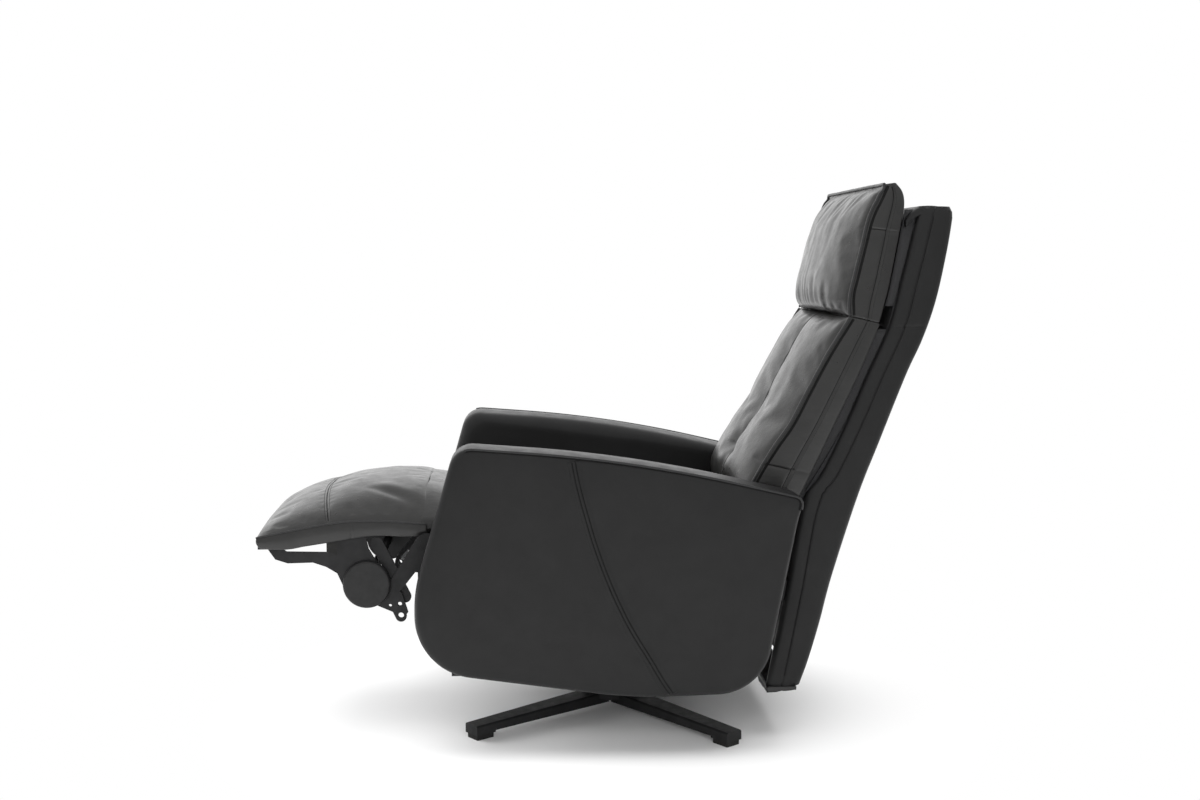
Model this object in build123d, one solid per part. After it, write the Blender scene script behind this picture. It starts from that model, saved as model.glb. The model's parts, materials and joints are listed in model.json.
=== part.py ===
from build123d import *
import os
from math import cos, pi, radians, sin, tan

# Swivel lift chair. Millimetres, +Z up, -Y is the front, +X is the sitter's left.
# Side-view places are (y, z) pairs measured from the swivel axis on the floor.

# Frame
front_to_middle = 31.0        # from the swivel axis back to the middle of the footprint
running_fit = 0.06            # radial clearance of a turning pin
seat_fit = 0.03               # radial clearance of a fixed pin
air = 0.4                     # gap between faces that pass each other
clear = 2.0                   # wider gap between moving plates
crown_steps = 3               # lofted sections in each half of a cushion

# Star base
leg_count = 4
base_turn = -7.8              # the base as it stands in rest, degrees about the swivel axis
foot_reach = 371.0
hub_radius = 62.0
hub_bottom = 24.0
hub_top = 96.0
leg_root_width = 54.0
leg_tip_width = 40.0
leg_root_start = 30.0
leg_root_top = 37.0
leg_bottom = 14.0             # the legs lie level, close over the floor
leg_tip_top = 30.0
leg_bevel = 3.0
foot_length = 46.0
glide_height = 10.0
glide_inset = 2.5

# Swivel
post_radius = 24.0
post_cap_radius = 36.0
post_cap_height = 8.0
bearing_height = 5.0
bearing_radius = 58.0
plate_thickness = 8.0
plate_half = 148.0
plate_corner = 24.0

# Lift
rail_outer = 154.0
rail_width = 24.0
rail_height = 24.0
rail_front = -346.0
rail_nose = (50.0, 15.0)      # slanted front end of the rails, length and rise
rail_rear = 150.0
lug_thickness = 8.0
lug_radius = 20.0
link_thickness = 8.0
link_end_radius = 17.0
lift_pin_radius = 8.0
open_pivot_clearance = 2.6
torsion_radius = 14.0
torsion_wall = 3.0
front_low_pivot = (-317.0, 150.0)
front_high_pivot = (-150.0, 170.0)
rear_low_pivot = (-243.6, 150.0)
rear_high_pivot = (120.0, 170.0)
lift_turn = 55.0              # degrees of the front links
lift_crank = 55.0             # from the torsion tube up to the rod line
crank_thickness = 6.0
crank_half_gap = 10.0
drive_pin_radius = 6.0
slot_play = 2.5               # of a drive pin in its slotted crank, each side
footrest_slot_play = 4.5      # wider, for the longer swing of the footrest
crank_rim = 7.0               # metal round the end of a slot

# Seat
arm_inner = 259.0
arm_outer = 380.0
side_plate_thickness = 16.0
cross_tube_radius = 14.0
cross_tube_height = 300.0
side_plate_top = cross_tube_height + 82.0
side_plate_bottom = cross_tube_height - 18.0
lift_bracket_thickness = 8.0
deck_thickness = 6.0
deck_border = 60.0
deck_front_gap = 42.0         # behind the cushion's front, clear of the stowing footrest
strap_count = 5
strap_width = 50.0
strap_thickness = 2.0
seat_front = -355.0
seat_rear = 172.0
seat_tail = 285.0             # rear end of the flap that runs on under the back cushion
seat_tail_height = 13.0
seat_side_gap = 5.0
seat_edge_height = 64.0
seat_crown = 44.0
seat_undercut = 32.0          # of the cushion's front foot, clear of the stowing footrest

# Footrest
footrest_pivot = (-380.0, cross_tube_height + 104.0)
footrest_tube_radius = 12.0
footrest_lug_radius = 20.0
footrest_half_width = 245.0
footrest_tip = -712.0
footrest_board_thickness = 12.0
footrest_crown = 56.0
bracket_thickness = 6.0
bracket_inset = 15.0          # from the side plate to the outer face of the bracket
disc_centre = (-498.0, footrest_pivot[1] - 84.0)
disc_radius = 47.0
disc_thickness = 10.0
footrest_crank = 60.0         # from the pivot down to the rod line
footrest_fold = 85.0
footrest_raise = 6.0
footrest_crank_x = 85.0

# Back
recline_pivot = (300.0, 300.0)
recline_pin_radius = 10.0
recline_lug_radius = 25.0
recline_back = 25.0
recline_upright = 14.0
back_crank = 55.0
back_crank_x = -85.0
shell_side_gap = 4.0
shell_wall = 12.0
shell_bottom = 106.0
skirt_drop = 14.0
back_panel_thickness = 8.0
back_tube_radius = 11.0
back_tube_x = 205.0
cushion_side_gap = 3.0
back_crown = 34.0
seam_depth = 8.0

# Head
head_pivot = (462.0, 845.0)
head_rod_radius = 5.0
head_knuckle_radius = 9.0
head_half_width = 258.0
head_crown = 38.0
head_plate_thickness = 5.0
head_plate_half = 180.0
head_strap_x = 140.0
head_strap_width = 24.0
head_strap_thickness = 3.0

# Arms
arm_inner_pad = 41.0
arm_board_thickness = 22.0
arm_edge_round = 13.0
arm_board_inset = 4.0

# Drives
drive_tube_radius = 18.0
drive_rod_radius = 9.0
tube_share = 0.62              # of the way from the housing to the rod's pin
drive_house_length = 64.0
drive_house_half = 27.0
drive_offset = 60.0           # from a cross tube to the housing that hangs beside it
saddle_width = 30.0
saddle_length = 22.0
motor_radius = 23.0
motor_length = 92.0
rod_eye_radius = 13.0
rod_eye_half = 8.0

# Controls
panel_centre = (-120.0, 556.0)
panel_length = 96.0
panel_height = 44.0
panel_thickness = 8.0
button_radius = 6.8
button_gap = 0.2
button_pitch = 26.0
button_row_pitch = 20.0
button_proud = 1.5
button_depth = 3.4
button_travel = 1.4

nodes = {}


def slab(outline, x_from, x_to):
    """Gives a side-view outline its thickness between two places across the chair."""
    low = min(x_from, x_to)
    return extrude(Plane.YZ.offset(low) * outline, abs(x_to - x_from), dir=(1, 0, 0))


def outline(corners):
    """Closed outline from (y, z, corner radius) triples."""
    points = [(y, z) for y, z, _ in corners]
    return make_face(FilletPolyline(*points, radius=[r for _, _, r in corners], close=True))


def disc(place, radius):
    """Round outline in the side view."""
    return Pos(*place) * Circle(radius)


def link_outline(start, end, start_radius, end_radius):
    """Two rounds joined by their tangents."""
    return make_hull([disc(start, start_radius).edge(), disc(end, end_radius).edge()])


def both(part):
    """A left piece and its mirror image."""
    return [part, mirror(part, Plane.YZ)]


def group(parts):
    """Separate solids kept together."""
    return Part() + parts


def pair(name, part):
    """Keeps a left piece and the mirrored right one."""
    nodes["left_" + name], nodes["right_" + name] = both(part)


def radial_slot(pivot, near, far, half_width, turn):
    """Slot along a lever that hangs from its pivot, turned in the side view by degrees."""
    length = far - near
    mid = (near + far) / 2
    slot = SlotCenterToCenter(length, 2 * half_width)
    return Pos(*pivot) * Rot(0, 0, turn) * Pos(0, -mid) * Rot(0, 0, 90) * slot


def crank_outline(pivot, hub, near, far, turn, play):
    """Slotted lever with a hub round its pivot; turn 0 hangs straight down."""
    tip = (pivot[0] + far * sin(radians(turn)), pivot[1] - far * cos(radians(turn)))
    body = link_outline(pivot, tip, hub, drive_pin_radius + play + crank_rim)
    return body - radial_slot(pivot, near, far, drive_pin_radius + play, turn)


def crowned(section, half):
    """Cushion lofted through side-view sections from edge to edge; section takes its share of the crown."""
    steps = [n / crown_steps - 1 for n in range(2 * crown_steps + 1)]
    return loft([Plane.YZ.offset(half * t) * section(1 - t ** 4) for t in steps])


def crowned_halves(section, half, channel):
    """Cushion of two crowned halves that meet in a sewn channel; channel is the crown's share lost there."""
    steps = [n / crown_steps for n in range(crown_steps + 1)]
    shares = [1 - t ** 4 - channel * (1 - t) ** crown_steps for t in steps]
    panel = loft([Plane.YZ.offset(half * t) * section(share) for t, share in zip(steps, shares)])
    return Part() + both(panel)


def build_base():
    """Four faceted legs on a hub, with a glide under each foot."""
    def leg_section(x, width, low, high):
        half = width / 2
        edge = Polyline(
            (-half, low), (half, low), (half, high - leg_bevel), (half - leg_bevel, high),
            (leg_bevel - half, high), (-half, high - leg_bevel), close=True)
        return Plane.YZ.offset(x) * make_face(edge)

    leg = loft([
        leg_section(leg_root_start, leg_root_width, leg_bottom, leg_root_top),
        leg_section(foot_reach, leg_tip_width, leg_bottom, leg_tip_top)], ruled=True)
    foot = Pos(foot_reach - foot_length / 2, 0, (glide_height + leg_tip_top - leg_bevel) / 2) * Box(
        foot_length, leg_tip_width, leg_tip_top - leg_bevel - glide_height)
    glide_size = (foot_length - 2 * glide_inset, leg_tip_width - 2 * glide_inset)
    glide = Pos(foot_reach - foot_length / 2, 0, 0) * extrude(
        RectangleRounded(*glide_size, glide_inset), glide_height)
    turns = [base_turn + 360 / leg_count * (n + 0.5) for n in range(leg_count)]
    hub = Pos(0, 0, hub_bottom) * extrude(Circle(hub_radius), hub_top - hub_bottom)
    base = hub + [Rot(0, 0, turn) * (leg + foot) for turn in turns]
    nodes["star_base"] = base - Cylinder(post_radius + seat_fit, 4 * hub_top)
    nodes["foot_glides"] = group([Rot(0, 0, turn) * glide for turn in turns])


def build_swivel():
    """Fixed post and bearing, and the plate that turns on them."""
    plate_bottom = hub_top + bearing_height + running_fit
    plate_top = plate_bottom + plate_thickness
    post = Pos(0, 0, hub_bottom) * extrude(Circle(post_radius), plate_top + air - hub_bottom)
    cap = Pos(0, 0, plate_top + air) * extrude(Circle(post_cap_radius), post_cap_height)
    cap = chamfer(cap.edges().group_by(Axis.Z)[-1], post_cap_height / 3)
    nodes["swivel_post"] = post + cap
    ring = Circle(bearing_radius) - Circle(post_radius + 2 * air)
    nodes["swivel_bearing"] = Pos(0, 0, hub_top) * extrude(ring, bearing_height)
    sheet = RectangleRounded(2 * plate_half, 2 * plate_half, plate_corner) - Circle(post_radius + running_fit)
    nodes["swivel_plate"] = Pos(0, 0, plate_bottom) * extrude(sheet, plate_thickness)
    return plate_top


def build_lift(frame_bottom):
    """Lower frame, torsion tube with crank, both pairs of links and the lower pins."""
    rail_top = frame_bottom + rail_height
    rail = outline([
        (rail_front, frame_bottom + rail_nose[1], 0), (rail_front + rail_nose[0], frame_bottom, 0),
        (rail_rear, frame_bottom, 0), (rail_rear, rail_top, 0),
        (rail_front, rail_top, 0)])
    lugs = [disc((y, z), lug_radius) + Pos(y, (z + frame_bottom) / 2) * Rectangle(2 * lug_radius, z - frame_bottom)
            for y, z in (front_low_pivot, rear_low_pivot)]
    side = slab(rail, rail_outer - rail_width, rail_outer)
    side += [slab(lug, rail_outer - lug_thickness, rail_outer) for lug in lugs]
    span = rail_outer - rail_width
    cross_places = (rail_front + 70, rail_rear - rail_width / 2)
    crosses = [Pos(0, y, frame_bottom + rail_height / 2) * Box(2 * span, rail_width, rail_height)
               for y in cross_places]
    rod_line = front_low_pivot[1] + lift_crank
    stand_height = rod_line - drive_house_half - air - rail_top
    stand = Pos(0, cross_places[1], rail_top + stand_height / 2) * Box(
        2 * drive_house_half, rail_width, stand_height)
    frame = Part() + both(side) + crosses + [stand]
    frame -= slab(disc(front_low_pivot, torsion_radius + running_fit), -arm_inner, arm_inner)
    frame -= slab(disc(rear_low_pivot, lift_pin_radius + seat_fit), -arm_inner, arm_inner)
    nodes["lower_lift_frame"] = frame

    rear_near = rail_outer + air
    rear_far = rear_near + link_thickness
    plate_near = rear_far + clear
    plate_far = plate_near + lift_bracket_thickness
    front_near = plate_far + air
    front_far = front_near + link_thickness
    rear = link_outline(rear_low_pivot, rear_high_pivot, link_end_radius, link_end_radius)
    rear -= disc(rear_low_pivot, lift_pin_radius + running_fit)
    rear -= disc(rear_high_pivot, lift_pin_radius + open_pivot_clearance)
    pair("rear_lift_link", slab(rear, rear_near, rear_far))
    front = link_outline(front_low_pivot, front_high_pivot, lug_radius, link_end_radius)
    front -= disc(front_low_pivot, torsion_radius + seat_fit)
    front -= disc(front_high_pivot, lift_pin_radius + running_fit)
    pair("front_lift_link", slab(front, front_near, front_far))

    tube = slab(disc(front_low_pivot, torsion_radius), -front_far, front_far)
    half_turn = lift_turn / 2
    reach = lift_crank / cos(radians(half_turn)) + 2
    lever = crank_outline(front_low_pivot, lug_radius, lift_crank - 4, reach, 180 - half_turn, slot_play)
    cranks = both(slab(lever, crank_half_gap, crank_half_gap + crank_thickness))
    bore = slab(disc(front_low_pivot, torsion_radius - torsion_wall), -arm_inner, arm_inner)
    nodes["lift_torsion_tube"] = (Part() + tube + cranks) - bore

    low_pin = slab(disc(rear_low_pivot, lift_pin_radius), rail_outer - lug_thickness - clear, rear_far + clear / 2)
    nodes["lower_lift_pins"] = group(both(low_pin))
    high_pins = []
    for place, x_from, x_to in (
            (front_high_pivot, plate_near - clear / 2, front_far + clear),
            (rear_high_pivot, rear_near - clear, plate_far + clear / 2)):
        high_pins += both(slab(disc(place, lift_pin_radius), x_from, x_to))
    nodes["upper_lift_pins"] = group(high_pins)
    pin_y = front_low_pivot[0] + lift_crank * tan(radians(half_turn))
    build_drive("lift", 0.0, rod_line, pin_y, cross_places[1], -1, 1, 0.0)
    return plate_near, plate_far


def build_drive(name, x, rod_line, pin_y, house_y, aim, motor_side, draw_back):
    """Linear drive: gear housing, motor and tube in one casting, and the rod with its eye and pin.

    The rod leaves the housing along aim (-1 forwards, 1 rearwards) on the rod line, and draws back from rest.
    """
    tube_end = house_y + aim * tube_share * abs(pin_y - house_y)
    rod_start = house_y + aim * (drive_house_length / 2 + draw_back)

    def along(radius, start, end):
        return Pos(x, (start + end) / 2, rod_line) * Rot(90, 0, 0) * Cylinder(radius, abs(end - start))

    house = Pos(x, house_y, rod_line) * Box(2 * drive_house_half, drive_house_length, 2 * drive_house_half)
    house = fillet(house.edges().filter_by(Axis.Y), drive_house_half / 3)
    motor_mid = x + motor_side * (drive_house_half + motor_length / 2)
    motor = Pos(motor_mid, house_y, rod_line) * Rot(0, 90, 0) * Cylinder(motor_radius, motor_length)
    motor = fillet(motor.edges(), motor_radius / 6)
    tube = along(drive_tube_radius, house_y, tube_end)
    bore = along(drive_rod_radius + air, house_y, tube_end + aim)
    nodes[name + "_motor"] = house + motor + tube - bore
    eye = slab(Pos(pin_y, rod_line) * Circle(rod_eye_radius), x - rod_eye_half, x + rod_eye_half)
    pin_half = crank_half_gap + crank_thickness
    pin = slab(Pos(pin_y, rod_line) * Circle(drive_pin_radius), x - pin_half, x + pin_half)
    rod = along(drive_rod_radius, rod_start, pin_y)
    nodes[name + "_rod"] = rod + eye + pin


def build_seat(plate_near, plate_far):
    """Welded frame, side plates, deck with webbing, and the drives and boxes that it carries."""
    inner = arm_inner - side_plate_thickness
    front_y, rear_y = front_high_pivot[0], rear_high_pivot[0]
    frame = Part()
    for y, pivot in ((front_y, front_high_pivot), (rear_y, rear_high_pivot)):
        frame += slab(disc((y, cross_tube_height), cross_tube_radius), -inner, inner)
        arm = link_outline((y, cross_tube_height), pivot, link_end_radius, link_end_radius)
        arm -= disc(pivot, lift_pin_radius + seat_fit)
        frame += both(slab(arm, plate_near, plate_far))
    tie = link_outline((front_y, cross_tube_height), (rear_y, cross_tube_height), cross_tube_radius, cross_tube_radius)
    frame += both(slab(tie, plate_near, plate_far))
    footrest_line = footrest_pivot[1] - footrest_crank
    back_line = recline_pivot[1] - back_crank
    footrest_house = rear_y - drive_offset
    back_house = front_y + drive_offset

    def saddle(x, y_from, y_to, face):
        middle, length = (y_from + y_to) / 2, abs(y_to - y_from) + saddle_length
        height = abs(face - cross_tube_height)
        return Pos(x, middle, (face + cross_tube_height) / 2) * Box(saddle_width, length, height)

    frame += saddle(footrest_crank_x, front_y, front_y, footrest_line - drive_tube_radius - air)
    frame += saddle(footrest_crank_x, rear_y, footrest_house, footrest_line - drive_house_half - air)
    frame += saddle(back_crank_x, front_y, back_house, back_line + drive_house_half + air)
    frame += saddle(back_crank_x, rear_y, rear_y, back_line + drive_tube_radius + air)
    nodes["seat_frame"] = frame
    tube_top = cross_tube_height + cross_tube_radius + air

    lug_y, lug_z = footrest_pivot
    lug_front = lug_y - footrest_lug_radius + 4
    hinge_y, hinge_z = recline_pivot
    plate = outline([
        (lug_front, side_plate_bottom + 20, 14), (lug_front + 60, side_plate_bottom, 40),
        (hinge_y - 60, side_plate_bottom, 30), (hinge_y - 10, side_plate_top, 40),
        (lug_front, side_plate_top, 0)])
    plate += disc(footrest_pivot, footrest_lug_radius)
    plate += Pos((lug_front + lug_y + footrest_lug_radius) / 2, (lug_z + side_plate_bottom + 60) / 2) * Rectangle(
        lug_y + footrest_lug_radius - lug_front, lug_z - side_plate_bottom - 60)
    plate += disc(recline_pivot, recline_lug_radius)
    plate += link_outline(recline_pivot, (hinge_y - 70, (side_plate_top + side_plate_bottom) / 2),
                          recline_lug_radius, 40)
    window = SlotOverall(120, 44)
    for y in (lug_front + 130, 0, hinge_y - 150):
        plate -= Pos(y, (side_plate_top + side_plate_bottom) / 2 + 4) * window
    plate -= disc(footrest_pivot, footrest_tube_radius + running_fit)
    plate -= disc(recline_pivot, recline_pin_radius + seat_fit)
    pair("side_plate", slab(plate, inner, arm_inner))
    pin = slab(disc(recline_pivot, recline_pin_radius), inner - 17, arm_inner)
    nodes["recline_pins"] = group(both(pin))

    deck_half = arm_inner - 2 * clear
    deck_front, deck_rear = seat_front + deck_front_gap, seat_tail
    deck_mid, deck_length = (deck_front + deck_rear) / 2, deck_rear - deck_front
    ring = Rectangle(2 * deck_half, deck_length) - Rectangle(
        2 * (deck_half - deck_border), deck_length - 2 * deck_border)
    nodes["seat_deck"] = Pos(0, deck_mid, side_plate_top) * extrude(ring, deck_thickness)
    deck_top = side_plate_top + deck_thickness
    pitch = 2 * (deck_half - deck_border) / strap_count
    strap = extrude(RectangleRounded(strap_width, deck_length - deck_border, 4), strap_thickness)
    straps = [Pos(pitch * (n - (strap_count - 1) / 2), deck_mid, deck_top) * strap for n in range(strap_count)]
    nodes["seat_webbing"] = group(straps)
    build_seat_cushion(deck_top + strap_thickness + air)

    box_length = rear_y - front_y + 30
    room = side_plate_top - tube_top
    for name, width, share, x in (("control_box", 90, 0.53, -15), ("battery_pack", 66, 0.68, -118)):
        height = share * room
        box = Pos(x, (front_y + rear_y) / 2, tube_top + height / 2) * Box(width, box_length, height)
        nodes[name] = fillet(box.edges().filter_by(Axis.Z), 8)
    half_range = radians((footrest_fold + footrest_raise) / 2)
    pin_y = lug_y - footrest_crank * tan(radians((footrest_fold - footrest_raise) / 2))
    draw_back = lug_y + footrest_crank * tan(half_range) - pin_y
    build_drive("footrest", footrest_crank_x, footrest_line, pin_y, footrest_house, -1, 1, draw_back)
    half_range = radians((recline_back + recline_upright) / 2)
    pin_y = hinge_y + back_crank * tan(radians((recline_back - recline_upright) / 2))
    draw_back = pin_y - hinge_y + back_crank * tan(half_range)
    build_drive("back", back_crank_x, back_line, pin_y, back_house, 1, -1, draw_back)


def build_seat_cushion(bottom):
    """Crowned cushion between the arms, with a thin flap that runs on under the back cushion."""
    half = arm_inner - seat_side_gap

    def section(share):
        edge = bottom + seat_edge_height
        tail_top = bottom + seat_tail_height
        rise = seat_crown * share
        front = (seat_front + 6, edge + 0.7 * rise)
        rear = (seat_rear - 8, edge - 20 + 0.6 * rise)
        sides = [
            Polyline((seat_front + seat_undercut, bottom), (seat_tail, bottom), (seat_tail, tail_top), (seat_rear, tail_top)),
            ThreePointArc((seat_rear, tail_top), (seat_rear + 2, (tail_top + rear[1]) / 2), rear),
            ThreePointArc(rear, ((front[0] + rear[0]) / 2, edge - 6 + rise), front),
            ThreePointArc(front, (seat_front, bottom + 0.6 * seat_edge_height), (seat_front + seat_undercut, bottom))]
        return make_face(sides)

    nodes["seat_cushion"] = crowned(section, half)


def build_arms():
    """Outer pad, frame board and inner pad of each arm, drawn in side view."""
    corners = [
        (-318, 608, 42), (20, 583, 2600), (342, 507, 14), (268, 128, 105), (20, 121, 900),
        (-397, 181, 120), (-396, 335, 280)]
    shape = outline(corners)
    board_shape = offset(shape, -arm_board_inset)
    board_inner = arm_inner + arm_inner_pad
    board_outer = board_inner + arm_board_thickness
    outer = slab(shape, board_outer, arm_outer)
    outer = fillet(outer.faces().sort_by(Axis.X)[-1].edges(), arm_edge_round)
    inner = slab(shape, arm_inner, board_inner)
    inner = fillet(inner.faces().sort_by(Axis.X)[0].edges(), arm_edge_round)
    board = slab(board_shape, board_inner, board_outer)
    pair("arm_outer_pad", outer)
    pair("arm_frame_board", board)
    pair("arm_inner_pad", inner)


def build_controls():
    """Keypad on the inner face of the left arm, with six travelling buttons."""
    y, z = panel_centre
    face = arm_inner - panel_thickness
    places = [(y + button_pitch * column, z + button_row_pitch * row)
              for row in (-0.5, 0.5) for column in (-1, 0, 1)]
    panel = slab(Pos(y, z) * RectangleRounded(panel_length, panel_height, 10), face, arm_inner)
    names = ("footrest_down", "back_down", "lift_down", "footrest_up", "back_up", "lift_up")
    for name, place in zip(names, places):
        pocket = disc(place, button_radius + button_gap)
        panel -= slab(pocket, face, face + button_depth + button_travel + 0.1)
        cap = slab(disc(place, button_radius), face - button_proud, face + button_depth)
        nodes[name + "_button"] = fillet(cap.faces().sort_by(Axis.X)[0].edges(), button_proud / 2)
    nodes["control_panel"] = panel


def build_footrest():
    """Pad on its board, carried by two beaked brackets on the tube of the pivot."""
    inner = arm_inner - side_plate_thickness
    outer_face = inner - bracket_inset
    inner_face = outer_face - bracket_thickness
    pivot_y, pivot_z = footrest_pivot

    def shape(*places):
        """Straight-sided outline from (y, height above the pivot) pairs."""
        return make_face(Polyline(*[(y, pivot_z + z) for y, z in places], close=True))

    under = [(y, pivot_z + z) for y, z in ((footrest_tip + 4, -11), (-650, -11), (-484, 14), (-400, 14))]
    over = [(y, z + footrest_board_thickness) for y, z in reversed(under)]
    board = make_face(Polyline(*under, *over, close=True))
    board_half = footrest_half_width - 8
    nodes["footrest_board"] = slab(board, -board_half, board_half)

    def section(share):
        rise = footrest_crown * share
        low = [(y, z + air) for y, z in over]
        rear_low = (pivot_y + 3, low[0][1])
        rear_top = (pivot_y + 4, pivot_z + 37 + rise)
        middle = (-570, pivot_z + 39 + 0.8 * rise)
        tip = (footrest_tip, pivot_z + 20)
        sides = [
            Polyline(tip, low[-1], low[-2], low[-3], rear_low, rear_top),
            ThreePointArc(rear_top, (-470, pivot_z + 44 + 0.95 * rise), middle),
            ThreePointArc(middle, (-650, pivot_z + 26 + 0.5 * rise), tip)]
        return make_face(sides)

    nodes["footrest_pad"] = crowned(section, footrest_half_width)

    tube = slab(disc(footrest_pivot, footrest_tube_radius), -arm_inner + air, arm_inner - air)
    turn = (footrest_raise - footrest_fold) / 2
    reach = footrest_crank / cos(radians((footrest_fold + footrest_raise) / 2)) + 3
    lever = crank_outline(footrest_pivot, footrest_lug_radius, footrest_crank - 4, reach, turn, footrest_slot_play)
    cranks = [slab(lever, footrest_crank_x + side * crank_half_gap,
                   footrest_crank_x + side * (crank_half_gap + crank_thickness)) for side in (-1, 1)]
    nodes["footrest_tube"] = Part() + tube + cranks

    beak = shape(
        (-691, -11), (-664, -11), (-654, -18), (-570, -20), (-520, -42), (-470, -52), (-430, -104),
        (-418, -142), (-432, -160), (-446, -142), (-478, -128), (-536, -108), (-556, -62), (-577, -49),
        (-603, -40), (-652, -41), (-676, -33))
    web = shape((-555.9, -30), (-555.9, 3.1), (-500, 11.5), (-494, -14), (-470, -56), (-520, -46))
    plate = beak + web + disc(disc_centre, disc_radius - 3)
    plate += link_outline((-432, pivot_z - 150), (-452, pivot_z - 94), 11, 16)
    plate += link_outline((-440, pivot_z - 86), footrest_pivot, 14, footrest_lug_radius)
    plate -= disc(footrest_pivot, footrest_tube_radius + seat_fit)
    for y, drop, radius in ((-432, 148, 5.5), (-434, 125, 4.0), (-453, 128, 3.0)):
        plate -= disc((y, pivot_z - drop), radius)
    pair("footrest_bracket", slab(plate, inner_face, outer_face))
    cover = slab(disc(disc_centre, disc_radius), outer_face, outer_face + disc_thickness)
    cover = fillet(cover.faces().sort_by(Axis.X)[-1].edges(), disc_thickness / 2)
    nodes["pivot_covers"] = group(both(cover))
    strap = link_outline((-478, pivot_z - 4), (-424, pivot_z - 112), 12, 12)
    board_line = shape((-560, -104), (-560, 2.5), (-484, 14), (-380, 14), (-380, -154))
    nodes["strap_links"] = group(both(slab(strap & board_line, inner_face - bracket_thickness, inner_face)))
    below_board = shape((-650, -11), (-484, 14), (-484, -64), (-650, -64))
    stop = Pos(-566, pivot_z - 14) * Rectangle(20, 60) & below_board
    stop -= shape((-654, -18), (-570, -20), (-520, -42), (-520, -104), (-654, -104))
    nodes["rubber_stops"] = group(both(slab(stop, inner_face, outer_face)))
    spreader = slab(disc(disc_centre, 10), -inner_face, inner_face)
    nodes["footrest_spreader"] = spreader


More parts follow.
